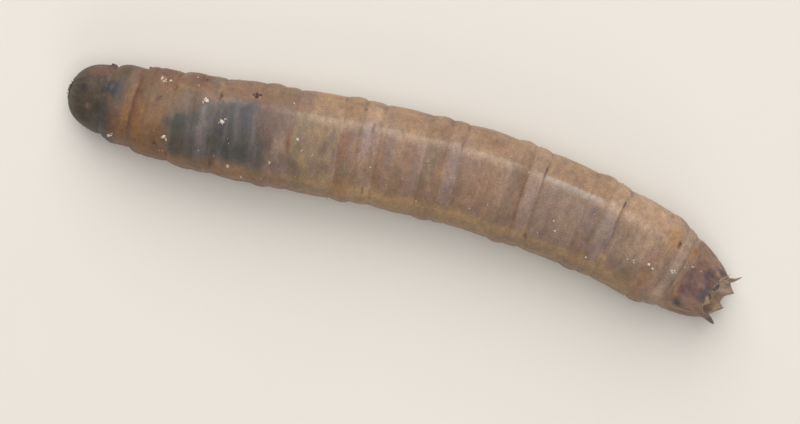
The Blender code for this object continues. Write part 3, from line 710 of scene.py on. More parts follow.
# Patches of the thorax, of the first rings behind it, where the dark gut shows through, of the rings
# behind the gut and of the tail: colour, strength, place and half length, dorsal angle and half angle. The
# pale blue patch is a painted highlight, and the lilac ones are partly a painted reflection
PATCHES = (
    (RED_BROWN, 0.75, 1.9, 1.1, 62.0, 22.0),
    (GREEN_BLACK, 0.55, 0.4, 0.5, 30.0, 13.0),
    (PURPLE_BLACK * 0.85, 0.6, 1.05, 0.27, 15.5, 8.0),
    (GREY_LILAC * 0.85, 0.3, 2.0, 0.5, 24.0, 8.0),
    (RED_BROWN, 0.45, 1.8, 0.5, -12.0, 9.0),
    (DARK_SLATE, 0.8, 3.1, 0.62, -20.0, 34.0),
    (DARK_SLATE, 0.8, 3.4, 0.5, -62.0, 26.0),
    (DARK_SLATE, 0.8, 3.85, 0.46, 28.0, 24.0),
    (BROWN_GREEN * 0.86, 0.75, 3.95, 0.62, 66.0, 28.0),
    (BROWN_GREEN, 0.45, 5.75, 0.5, 30.0, 16.0),
    (BLUE_BLACK, 0.95, 3.26, 0.46, 26.0, 10.0),
    (SPOT_GREY, 0.8, 3.24, 0.22, 26.5, 5.5),
    (LILAC_HUE_AND_REFLECTION, 0.24, 1.74, 0.2, -13.0, 6.0),
    (TAIL_PALE, 0.26, 1.72, 0.07, -12.0, 2.5),
    (PALE_BLUE_HIGHLIGHT, 0.22, 3.22, 0.08, 28.0, 2.2),
    (BLUE_BLACK, 0.7, 2.83, 0.2, 19.5, 6.0),
    (BLUE_BLACK, 0.7, 3.56, 0.2, 18.0, 6.0),
    (MAROON, 0.9, 2.75, 0.3, 88.0, 16.0),
    (PURPLE, 0.7, 3.8, 0.35, -78.0, 14.0),
    (LILAC_HUE_AND_REFLECTION, 0.28, 4.58, 0.3, 54.0, 22.0),
    (AMBER, 0.5, 4.74, 0.22, -14.0, 28.0),
    (AMBER, 0.55, 5.02, 0.1, 0.0, 50.0),
    (MAROON, 0.18, 5.24, 0.12, 10.0, 60.0),
    (AMBER, 0.56, 5.85, 0.32, -6.0, 24.0),
    (AMBER, 0.3, 7.4, 0.34, 0.0, 12.0),
    (SLATE, 0.4, 13.3, 0.8, 22.0, 12.0),
    (GREY_BROWN * 0.72, 0.4, 15.1, 0.9, 20.0, 12.0),
    (AMBER, 0.4, 6.2, 0.6, -40.0, 18.0),
    (RED_BROWN, 0.7, 6.5, 1.1, 72.0, 22.0),
    (DARK_LINE_AND_CREASE_SHADE, 0.55, 6.98, 0.15, 21.0, 4.5),
    (DARK_LINE_AND_CREASE_SHADE, 0.55, 7.23, 0.15, -34.0, 4.5),
    (YELLOW_LINE, 0.55, 6.85, 0.25, 52.0, 6.0),
    (BROWN_GREEN * 0.92, 0.6, 4.3, 0.34, 26.0, 15.0),
    (RED_BROWN, 0.5, 5.0, 0.5, 62.0, 20.0),
    (TAN_BROWN * 0.84, 0.5, 5.95, 0.45, 46.0, 28.0),
    (DARK_SLATE, 0.5, 7.8, 0.34, 0.0, 12.0),
    (AMBER, 0.45, 8.15, 0.3, 34.0, 10.0),
    (GREEN_BLACK, 0.45, 8.7, 0.6, -1.0, 13.0),
    (PURPLE_BLACK, 0.6, 11.5, 0.26, 2.0, 6.0),
    (SLATE_BLUE, 0.6, 13.15, 0.34, 28.0, 10.0),
    (SLATE_BLUE, 0.25, 12.1, 0.2, 24.0, 16.0),
    (GREEN_BLACK, 0.5, 12.08, 0.2, -4.0, 22.0),
    (GREEN_BLACK, 0.45, 13.15, 0.34, -12.0, 16.0),
    (GREY_LILAC, 0.35, 11.82, 0.12, 4.0, 26.0),
    (GREY_LILAC, 0.35, 12.52, 0.12, 4.0, 28.0),
    (GREY_LILAC, 0.45, 13.68, 0.15, 4.0, 30.0),
    (DARK_SLATE, 0.4, 14.45, 0.48, -12.0, 14.0),
    (RED_BROWN, 0.5, 9.52, 0.12, 22.0, 20.0),
    (RED_BROWN, 0.55, 14.95, 0.14, -6.0, 16.0),
    (RUST, 0.75, 16.25, 0.14, 5.0, 15.0),
    (RED_BROWN, 0.55, 9.1, 1.3, 62.0, 16.0),
    (MAROON, 0.45, 9.6, 0.6, 72.0, 10.0),
    (GREY_LILAC, 0.55, 10.55, 0.3, 72.0, 20.0),
    (YELLOW_LINE, 0.4, 10.95, 0.18, 68.0, 20.0),
    (AMBER, 0.45, 8.7, 0.9, -52.0, 8.0),
    (DARK_LINE_AND_CREASE_SHADE, 0.55, 11.15, 0.14, -46.0, 5.0),
    (OLIVE, 0.45, 10.5, 0.8, -52.0, 8.0),
    (ORANGE, 0.2, 13.2, 1.7, -52.0, 9.0),
    (GREY_BROWN * 0.84, 0.5, 14.6, 1.75, 24.0, 12.0),
    (GREY_BROWN * 0.84, 0.45, 16.2, 1.4, -24.0, 15.0),
    (PURPLE, 0.4, 16.9, 0.8, 66.0, 14.0),
    (TAIL_PALE, 0.45, 22.2, 0.5, 54.0, 13.0),
    (PINK_BROWN, 0.5, 30.3, 0.8, 54.0, 13.0),
    (PINK_BROWN * 0.9, 0.4, 29.2, 0.4, 4.0, 16.0),
    (GREEN_TAN, 0.5, 41.4, 0.7, -14.0, 18.0),
    (GREY_BROWN * 0.84, 0.36, 17.0, 0.5, 40.0, 14.0),
    (PINK_BROWN * 0.95, 0.55, 21.95, 0.32, -4.0, 14.0),
    (TAIL_PALE, 0.36, 21.9, 1.7, 50.0, 12.0),
    (PINK_BROWN * 0.86, 0.35, 30.3, 1.0, 10.0, 20.0),
    (TAIL_PALE, 0.28, 32.4, 1.0, 50.0, 12.0),
    (TAIL_PALE, 0.34, 33.6, 1.6, 74.0, 14.0),
    (PINK_BROWN * 0.9, 0.36, 32.9, 0.4, 18.0, 12.0),
    (TAIL_PALE, 0.45, 45.0, 0.5, -38.0, 12.0),
    (TAIL_PALE, 0.45, 46.1, 0.5, 36.0, 12.0),
    (YELLOW_LINE, 0.3, 22.8, 1.4, -64.0, 12.0),
    (YELLOW_LINE, 0.3, 22.2, 2.6, -52.0, 12.0),
    (TAIL_PALE, 0.45, 45.1, 0.5, 26.0, 22.0),
    (TAIL_PALE, 0.45, 45.0, 0.5, -30.0, 18.0),
    (TAIL_PALE * 0.92, 0.55, 46.15, 0.55, 16.0, 32.0),
    (YELLOW_LINE, 0.35, 18.5, 0.8, 64.0, 14.0),
    (YELLOW_LINE, 0.45, 17.3, 0.35, -19.0, 10.0),
    (MAROON, 0.35, 18.72, 0.26, 4.0, 8.0),
    (PURPLE, 0.45, 19.15, 0.22, 16.0, 9.0),
    (PURPLE, 0.45, 19.15, 0.22, -20.0, 9.0),
    (RUST, 0.36, 20.05, 0.45, 5.0, 16.0),
    (OLIVE, 0.3, 20.35, 0.45, -14.0, 14.0),
    (AMBER, 0.55, 20.3, 0.55, -40.0, 12.0),
    (LILAC_HUE_AND_REFLECTION, 0.35, 21.5, 0.35, 24.0, 20.0),
    (DARK_LINE_AND_CREASE_SHADE, 0.45, 21.96, 0.12, 32.0, 4.5),
    (PINK_BROWN, 0.6, 22.6, 0.6, -2.0, 26.0),
    (OLIVE, 0.28, 26.3, 0.6, 4.0, 30.0),
    (OLIVE, 0.22, 32.3, 0.55, 4.0, 30.0),
    (MAROON, 0.25, 33.05, 0.14, 0.0, 28.0),
    (DARK_LINE_AND_CREASE_SHADE, 0.45, 34.3, 0.12, -37.0, 5.0),
    (LILAC_HUE_AND_REFLECTION, 0.45, 37.18, 0.26, 14.0, 5.0),
    (PURPLE, 0.5, 38.15, 0.35, 18.0, 9.0),
    (OLIVE, 0.6, 38.65, 0.16, -4.0, 15.0),
    (AMBER, 0.6, 38.62, 0.22, -31.0, 7.0),
    (PURPLE, 0.6, 39.8, 0.16, -5.0, 5.0),
    (YELLOW_LINE, 0.6, 40.2, 0.25, -25.0, 7.0),
    (PURPLE, 0.35, 41.2, 0.5, -22.0, 10.0),
    (OLIVE, 0.35, 41.9, 0.5, -34.0, 10.0),
    (ORANGE, 0.45, 43.5, 0.6, -24.0, 11.0),
    (ORANGE, 0.45, 43.85, 0.5, 41.0, 11.0),
    (MAROON, 0.55, 44.45, 0.16, 37.0, 5.0),
    (RUST, 0.25, 43.2, 0.35, -2.0, 10.0),
    (ORANGE, 0.6, 46.04, 0.34, 45.0, 10.0),
    (ORANGE, 0.75, 46.72, 0.34, -25.0, 9.0),
    (GREEN_BLACK, 0.8, 47.2, 0.36, -41.0, 10.0),
    (MAROON, 0.3, 47.15, 0.4, -8.0, 9.0),
    (TAIL_DARK, 0.8, 48.5, 0.26, 74.0, 16.0),
    (PURPLE, 0.5, 48.15, 0.3, 56.0, 14.0),
    (TAIL_DARK, 0.4, 48.15, 0.26, 38.0, 9.0),
    (CREAM, 0.6, 48.4, 0.2, 52.0, 7.0),
)


def skin_colours(place, turned, arc, seams, folds):
    """Colour of every point of the body's skin."""
    flank = np.abs(turned)
    share = segment_share(place)
    colours = TAN

    def clouds(*layers):
        return noises(place, arc, *layers)

    # Uneven edges for all fields
    warp = clouds((0.12, 1.3, 1.4, 21), (0.05, 0.5, 0.6, 22), (0.05, 0.22, 0.26, 29))
    p = place + warp
    q = place + 0.35 * warp
    d = turned + clouds((3.5, 1.6, 1.5, 23), (1.6, 0.5, 0.5, 24), (2.0, 0.24, 0.24, 30))

    def area(first, last, soft=0.3, low=-190.0, high=190.0, blur=5.0, by=p, end=None):
        end = soft if end is None else end
        if last is None:
            along = bell(by, first, soft)
        else:
            along = smooth(first - soft, first + soft, by) * (1.0 - smooth(last - end, last + end, by))
        return along * smooth(low - blur, low + blur, d) * (1.0 - smooth(high - blur, high + blur, d))

    def lay(colour, strength, mask):
        nonlocal colours
        colours = tint(colours, colour, strength * mask)

    def lay_fields(rows):
        for colour, strength, *where in rows:
            lay(colour, strength, area(*where))

    def dapple(high, low, mask, values):
        """One colour and strength where the values are over 0, and another where they are under 0."""
        lay(*high, mask * part(values))
        lay(*low, mask * part(-values))

    # Flanks and belly, the left flank darker as painted shade, then the clear band along the back
    lay(FLANK_SHADE, 0.8, area(0.0, 60.0, high=-36.0, blur=10.0))
    lay(FLANK_BROWN, 0.75, area(0.0, 16.6, 1.6))
    lay(BELLY, 0.8, smooth(95.0, 135.0, np.abs(d)))
    lay_fields(BACK_FIELDS)
    # Middle ring of each segment is browner, also on the flanks, and the hind one paler, with lilac that is
    # partly a painted reflection
    for k in range(5, 10):
        first, last = SEAMS[k] + np.array(SEGMENTS[k][4]) * LENGTHS[k]
        seam = SEAMS[k + 1]
        strength = 0.50 if k < 8 else 0.26
        lay(PINK_BROWN * 0.93, strength, area(first, last, 0.04, -70.0, 70.0, 14.0, q, 0.20))
        lay(LILAC_HUE_AND_REFLECTION, 0.52, area(last + 0.16, seam - 0.06, 0.26, -40.0, 46.0, 12.0, q, 0.05))
        lay(LILAC_HUE_AND_REFLECTION, 0.60, area(first - 0.10, None, 0.08, -34.0, 34.0, 9.0, q))
        lay(PALE_LINE_AND_HIGHLIGHT, 0.30, area(seam - 0.14, None, 0.06, -30.0, 40.0, 9.0, q))
        lay(PINK_BROWN * 0.80, 0.24, area(seam + 0.10, None, 0.10, -34.0, 34.0, 9.0, q))
    # Dark gut seen through the skin behind the thorax
    lay_fields(GUT_FIELDS)
    # Soft stripes across the band, the lilac ones partly a painted reflection
    band = area(7.8, 45.0, 0.4, -40.0, 38.0, 8.0)
    gut = area(8.0, 15.5, 0.5, -40.0, 38.0, 8.0)
    dapple((LILAC_HUE_AND_REFLECTION, 0.34), (PINK_BROWN * 0.86, 0.34), band, clouds((1.0, 0.42, 4.0, 31)))
    colours = colours * (1.0 + (0.016 * band + 0.045 * gut) * clouds((1.0, 0.24, 1.1, 32)))[..., None]
    # Soft patches of other hues all over
    behind = smooth(4.0, 9.0, place) * (1.0 - 0.7 * gut)
    hues = clouds((0.8, 1.0, 1.6, 25), (0.7, 0.34, 0.60, 26))
    dapple((YELLOW_LINE, 0.24), (PURPLE, 0.22), behind, hues)
    hues = clouds((0.8, 0.8, 1.3, 27), (0.7, 0.26, 0.50, 28))
    dapple((OLIVE, 0.18), (PINK_BROWN, 0.30), behind, hues)
    # Pale lines at both sides of the band, brightest behind each seam: the right one partly a painted
    # highlight, with a bluish painted highlight along part of it, and the left one yellow
    highlight_glow = 0.55 + 0.45 * np.exp(-share * 1.8) - 0.35 * bell(share, 1.0, 0.04) + 0.20 * smooth(0.8, 0.9, share)
    uneven = part(0.85 + clouds((0.35, 0.8, 2.0, 33)))
    edged = (1.0 - smooth(35.0, 38.0, turned)) * smooth(20.0, 34.5, turned) ** 1.6
    right = area(15.6, 43.4, 1.6) * highlight_glow * uneven
    lay(PALE_LINE_AND_HIGHLIGHT, 0.30, right * bell(turned, 33.5, 6.0))
    lay(PALE_LINE_AND_HIGHLIGHT, 0.52, right * edged)
    lay(PALE_BLUE_HIGHLIGHT, 0.44, smooth(33.8, 34.6, place) * (1.0 - smooth(37.5, 39.5, place)) * edged)
    lay(PALE_LINE_AND_HIGHLIGHT, 0.22, area(11.2, 15.6, 0.6) * bell(turned, 36.5, 5.0))
    left = area(15.6, 42.0, 1.2) * uneven * (1.0 - 0.45 * smooth(32.0, 36.0, place))
    lay(YELLOW_LINE, 0.56, left * bell(turned, clouds((2.0, 0.9, 3.0, 34)) - 41.0, 7.0))
    lay(YELLOW_LINE, 0.30, area(19.5, 33.5, 0.8) * bell(turned, -46.0, 12.0))
    lay(OLIVE, 0.12, area(15.0, 44.0, 1.4) * bell(turned, -56.0, 8.0))
    # Thorax and head end
    lay(TAN_BROWN, 0.95, area(2.6, 7.8, 0.25))
    specks = clouds((1.0, 0.26, 0.28, 45), (0.6, 0.55, 0.60, 46))
    dapple((GREY_BROWN * 0.80, 0.50), (RED_BROWN, 0.30), area(2.9, 7.8), specks)
    lay_fields(THORAX_FIELDS)
    specks = clouds((1.0, 0.60, 0.65, 42), (0.5, 0.28, 0.30, 44))
    dapple((BLUE_BLACK, 0.42), (HEAD_BROWN, 0.42), area(-1.0, 2.9), specks)
    lay(OLIVE * 0.70, 0.45, area(-1.0, 3.0, 0.4, -100.0, -8.0, 18.0))
    specks = clouds((1.0, 0.20, 0.24, 47), (0.6, 0.40, 0.44, 48))
    dapple((GREY_LILAC * 0.90, 0.30), (GREEN_BLACK * 0.90, 0.45), area(-1.0, 3.0), specks)
    lay(OLIVE * 0.75, 0.28, area(0.3, 2.9, 0.4, -30.0, 48.0, 16.0))
    # Last rings
    lay_fields(TAIL_FIELDS)
    blotches = clouds((1.0, 0.50, 0.55, 43), (0.7, 0.24, 0.26, 49))
    lay(TAIL_DARK, 0.23, area(46.4, 60.0, 0.4) * part(blotches))
    lay(TAIL_PALE, 0.26, area(45.7, 60.0) * part(-blotches))
    dapple((MAROON, 0.22), (OLIVE, 0.25), area(46.0, 60.0), clouds((1.0, 0.34, 0.36, 50)))
    for colour, strength, middle, length, way, width in PATCHES:
        away = np.abs((p - middle) / length) ** 2.6 + np.abs((d - way) / width) ** 2.6
        lay(colour, strength, np.exp(-away))
    # Dark rim in front of the breathing disc
    rim = RIM_PLACE - RIM_SLANT * smooth(8.0, 42.0, turned)
    rimmed = smooth(rim - 0.40, rim + 0.02, p) * area(0.0, 60.0, 0.3, -28.0, 46.0, 12.0)
    lay(TAIL_DARK, 0.28, rimmed * part(0.75 + 0.6 * blotches))
    lay(SPOT_BLUE, 0.46, area(rim - 0.04, None, 0.07, -24.0, 30.0, 8.0))
    # Painted shade in seams, folds and the side furrow, strongest on the flanks; then dark lines in the seams
    sides = smooth(58.0, 76.0, flank) * smooth(5.0, 7.5, place)
    lay(DARK_LINE_AND_CREASE_SHADE, 0.07, seams * smooth(2.5, 4.0, place))
    lay(DARK_LINE_AND_CREASE_SHADE, 0.04, folds)
    lay(DARK_LINE_AND_CREASE_SHADE, 0.26, seams * sides)
    lay(DARK_LINE_AND_CREASE_SHADE, 0.14, folds * sides)
    lay(DARK_LINE_AND_CREASE_SHADE, 0.10, bell(flank, side_furrow(place), 5.0) * sides)
    for line_place, strength, low, high in SEAM_LINES:
        seed = int(line_place * 10)
        spread = smooth(low - 6.0, low + 6.0, turned) * (1.0 - smooth(high - 4.0, high + 4.0, turned))
        ragged = part(0.75 + 0.45 * noise(arc, arc, 0.7, 0.7, seed))
        shaft = bell(place, line_place + 0.06 * noise(arc, arc, 1.0, 1.0, seed + 1), 0.065)
        lay(DARK_LINE_AND_CREASE_SHADE, strength, shaft * spread * ragged)
    # Clouds and grain, as on soft leather
    grain = clouds((0.035, 1.3, 1.3, 51), (0.045, 0.50, 0.55, 52))
    grain += clouds((0.055, 0.22, 0.32, 53), (0.045, 0.14, 0.18, 54))
    return part(colours * WARMTH * (1.0 + grain)[..., None])


def disc_colours(points, tags, rim_tone, reach, mask):
    """Colour of the rim, the lobes and the sunken field, paler on the right and browner on the left."""
    across = section_points(np.full(AROUND, DISC_END), ANGLES)[0]
    x = points[..., 0] + 0.7 * points[..., 2]
    clouds = noises(x, points[..., 1], (1.0, 0.42, 0.42, 61), (0.8, 0.18, 0.18, 62))
    flecks = noises(x, points[..., 1], (1.0, 0.30, 0.30, 63), (0.8, 0.13, 0.13, 64))
    tones = []
    for k, (t, face) in enumerate(tags):
        side = across * (1.0 - 0.5 * abs(t)) if face < 0.0 else across
        tone = tint(DISC_BROWN, DISC_PALE, 0.85 * smooth(0.25, 1.2, side))
        tone = tint(tone, DISC_YELLOW, 0.60 * bell(side, -0.65, 0.40))
        tone = tint(tone, PURPLE, 0.50 * smooth(-0.9, -1.5, side))
        if face > 0.0:
            tone = tint(rim_tone, tone, smooth(0.05, 0.55, t) * (0.30 + 0.60 * mask))
        tone = tint(tone, OLIVE, 0.42 * part(clouds[k]))
        tone = tint(tone, DISC_PALE, 0.25 * part(-clouds[k]))
        tone = tint(tone, TAIL_DARK, 0.24 * part(flecks[k]))
        if t >= 0.0:
            ends = smooth(0.50, 0.95, t * reach / 0.7) * mask
            tone = tint(tone, TAIL_DARK, ends * (0.62 - 0.40 * smooth(0.9, 1.3, across)))
        else:
            tone = tint(tone, DISC_BROWN, 0.4 * smooth(0.5, 1.0, -t))
        tones.append(tone)
    return np.array(tones)


def make_skin(offset):
    """The one skin over all rings of the body, the disc and its lobes."""
    body, place, turned, arc, (seams, folds, _) = body_grid()
    mouth = np.array(mouth_rings(body[0]))
    disc, tags, centre, reach, mask = disc_rings(body[-1])
    disc = np.array(disc)
    back_wall = body_points(CAPSULE_MIDDLE + CAPSULE_HALF[0] + CAPSULE_ROOM, 0.0, HEAD_TIP_HEIGHT)
    points, faces = closed_tube(np.concatenate((mouth, body, disc)), [back_wall, centre])
    skin = make_mesh("larva_skin", points, faces, offset)

    body_tone = skin_colours(place, turned, arc, seams, folds)
    # Inside the mouth the first ring's colour is darkened, as painted shade
    shaded_mouth_tone = np.repeat(body_tone[:1] * 0.55, len(mouth), axis=0)
    tone = np.concatenate((shaded_mouth_tone, body_tone, disc_colours(disc, tags, body_tone[-1], reach, mask)))
    tone = tone.reshape(-1, 3)
    paint(skin, "tone", np.concatenate((tone, tone[:1], tone[-1:])))

    # Coordinates of the straight, round body, for the fine pattern of the material
    past = DISC_END + 0.05 * np.arange(1, len(disc) + 1)
    along = np.concatenate((np.zeros(len(mouth)), PLACES, past))
    radius = np.full(len(along), MEAN_RADIUS)
    radius[-len(disc):] *= [1.0 + min(t, 0.0) for t, _ in tags]
    straight = np.zeros((len(points), 3))
    straight[:-2, 0] = np.repeat(along, AROUND)
    straight[:-2, 1] = np.outer(radius, np.cos(ANGLES)).ravel()
    straight[:-2, 2] = np.outer(radius, np.sin(ANGLES)).ravel()
    layer = skin.data.attributes.new("straight", "FLOAT_VECTOR", "POINT")
    layer.data.foreach_set("vector", straight.ravel())
    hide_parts(*NAMES, "spiracular_disc")
    return skin


# Materials
class Nodes:
    """Short calls for building one material's nodes."""

    def __init__(self, name):
        self.material = bpy.data.materials.new(name)
        self.material.use_nodes = True
        self.tree = self.material.node_tree

    def put(self, socket, value):
        """Link or set one input."""
        if isinstance(value, bpy.types.NodeSocket):
            self.tree.links.new(value, socket)
        elif socket.type == "RGBA":
            socket.default_value = (*value, 1.0)
        else:
            socket.default_value = value

    def add(self, kind, **settings):
        """New node with its inputs and settings."""
        node = self.tree.nodes.new(kind)
        for key, value in settings.items():
            if key in node.inputs:
                self.put(node.inputs[key], value)
            else:
                setattr(node, key, value)
        return node

    def finish(self, settings):
        """Set or link the shader's inputs."""
        for key, value in settings.items():
            self.put(self.tree.nodes["Principled BSDF"].inputs[key], value)
        return self.material

    def tone(self):
        return self.add("ShaderNodeAttribute", attribute_name="tone").outputs["Color"]

    def noise(self, vector, scale, detail, rough=0.55):
        node = self.add("ShaderNodeTexNoise", Vector=vector, Scale=scale, Detail=detail, Roughness=rough)
        return node.outputs["Fac"]

    def spread(self, value, low, high, to_low, to_high):
        ends = {"From Min": low, "From Max": high, "To Min": to_low, "To Max": to_high}
        return self.add("ShaderNodeMapRange", Value=value, **ends).outputs["Result"]

    def mix(self, factor, first, second, blend="MIX"):
        node = self.add("ShaderNodeMix", data_type="RGBA", blend_type=blend)
        for k, value in ((0, factor), (6, first), (7, second)):
            self.put(node.inputs[k], value)
        return node.outputs[2]

    def bump(self, height, distance, strength, **normal):
        node = self.add("ShaderNodeBump", Height=height, Distance=distance, Strength=strength, **normal)
        return node.outputs["Normal"]


def skin_material():
    """Soft moist skin, finely mottled like leather, that shows a little of what lies under it."""
    n = Nodes("moist_skin")
    straight = n.add("ShaderNodeAttribute", attribute_name="straight").outputs["Vector"]

    def pattern(scale, detail, rough):
        stretched = n.add("ShaderNodeMapping", Vector=straight, Scale=scale)
        return n.noise(stretched.outputs["Vector"], 1.0, detail, rough)

    mottle = pattern((2.8, 2.6, 2.6), 5.0, 0.62)
    wrinkles = pattern((5.0, 2.4, 2.4), 4.0, 0.6)
    grains = pattern((6.5, 5.5, 5.5), 3.0, 0.6)
    dust = pattern((13.0, 12.0, 12.0), 2.0, 0.7)
    fine = pattern((9.0, 8.0, 8.0), 3.0, 0.6)
    shade = n.mix(n.spread(mottle, 0.3, 0.7, 0.0, 1.0), (0.88, 0.87, 0.87), (1.0, 1.0, 1.0))
    colour = n.mix(1.0, n.tone(), shade, "MULTIPLY")
    # Pale lilac on the wrinkles, partly a painted reflection
    colour = n.mix(n.spread(wrinkles, 0.52, 0.74, 0.0, 0.08), colour, linear(LILAC_HUE_AND_REFLECTION))
    colour = n.mix(n.spread(grains, 0.58, 0.76, 0.0, 0.30), colour, linear(FLANK_SHADE * 0.6))
    speckle = n.mix(n.spread(dust, 0.32, 0.68, 0.0, 1.0), (0.74, 0.74, 0.74), (1.22, 1.22, 1.22))
    return n.finish({
        "Base Color": n.mix(1.0, colour, speckle, "MULTIPLY"),
        "Roughness": n.spread(mottle, 0.3, 0.7, 0.46, 0.62),
        "Normal": n.bump(fine, 0.00004, 0.6, Normal=n.bump(wrinkles, 0.00003, 0.4)),
        "Subsurface Weight": 0.25,
        "Subsurface Radius": (1.0, 0.62, 0.42),
        "Subsurface Scale": 0.0003,
        "Specular IOR Level": 0.38,
        "Coat Weight": 0.08,
        "Coat Roughness": 0.34,
    })


def floor_material():
    """Matt pale floor with faint clouds."""
    n = Nodes("pale_floor")
    pale = np.array((0.86, 0.84, 0.81))
    clouds = n.noise(n.add("ShaderNodeTexCoord").outputs["Object"], 30.0, 4.0)
    return n.finish({
        "Base Color": n.mix(n.spread(clouds, 0.3, 0.7, 0.0, 1.0), linear(pale * 0.985), linear(pale)),
        "Roughness": n.spread(clouds, 0.3, 0.7, 0.67, 0.83),
    })


def toned_material(name, roughness, scale, coat, bump):
    """Material that takes its colour from the points, with fine clouds and grain."""
    n = Nodes(name)
    where = n.add("ShaderNodeTexCoord").outputs["Object"]
    clouds = n.noise(where, scale, 5.0, 0.6)
    shade = n.mix(n.spread(clouds, 0.3, 0.7, 0.0, 1.0), (0.72, 0.70, 0.70), (1.0, 1.0, 1.0))
    return n.finish({
        "Base Color": n.mix(1.0, n.tone(), shade, "MULTIPLY"),
        "Roughness": n.spread(clouds, 0.3, 0.7, roughness - 0.06, roughness + 0.10),
        "Normal": n.bump(n.noise(where, scale * 4.0, 3.0), 0.00002, bump),
        "Coat Weight": coat,
        "Coat Roughness": 0.18,
    })


# Small parts
class Parts:
    """Closed shapes gathered into one mesh, with a colour for each point."""

    def __init__(self):
        self.points = []
        self.faces = []
        self.tones = []
        self.patches = []
        self.count = 0

    def add(self, points, faces, tones, patch=(0.5, 0.5)):
        points = np.asarray(points, float)
        tones = np.broadcast_to(tones, (len(points), 3))
        self.points.append(points)
        self.tones.append(tones)
        self.patches += [patch] * len(faces)
        self.faces += [tuple(k + self.count for k in face) for face in faces]
        self.count += len(points)

    def build(self, name, offset):
        piece = make_mesh(name, np.concatenate(self.points), self.faces, offset)
        paint(piece, "tone", np.concatenate(self.tones))
        return piece


def tube(line, across, over, sides, squareness=2.0, waves=0.0, upward=(0.0, 0.0, 1.0)):
    """Closed tapered tube along a line of points, with half sizes across and over at each."""
    ahead = unit(np.gradient(line, axis=0))
    side = unit(np.cross(np.broadcast_to(upward, ahead.shape), ahead))
    top = np.cross(ahead, side)
    angle = circle(sides)
    swell = 1.0 + waves * np.cos(angle * 5.0)
    reach_side = np.outer(across, swell * rounded(np.cos(angle), 2.0 / squareness))
    reach_top = np.outer(over, swell * rounded(np.sin(angle), 2.0 / squareness))
    rings = line[:, None] + side[:, None] * reach_side[..., None] + top[:, None] * reach_top[..., None]
    return closed_tube(rings, [line[0], line[-1]])


def bent_line(knots, steps):
    """Smooth line through root, knee and tip."""
    root, knee, tip = knots
    t = np.linspace(0.0, 1.0, steps)[:, None]
    return root * (1 - t) ** 2 + knee * 2 * t * (1 - t) + tip * t ** 2


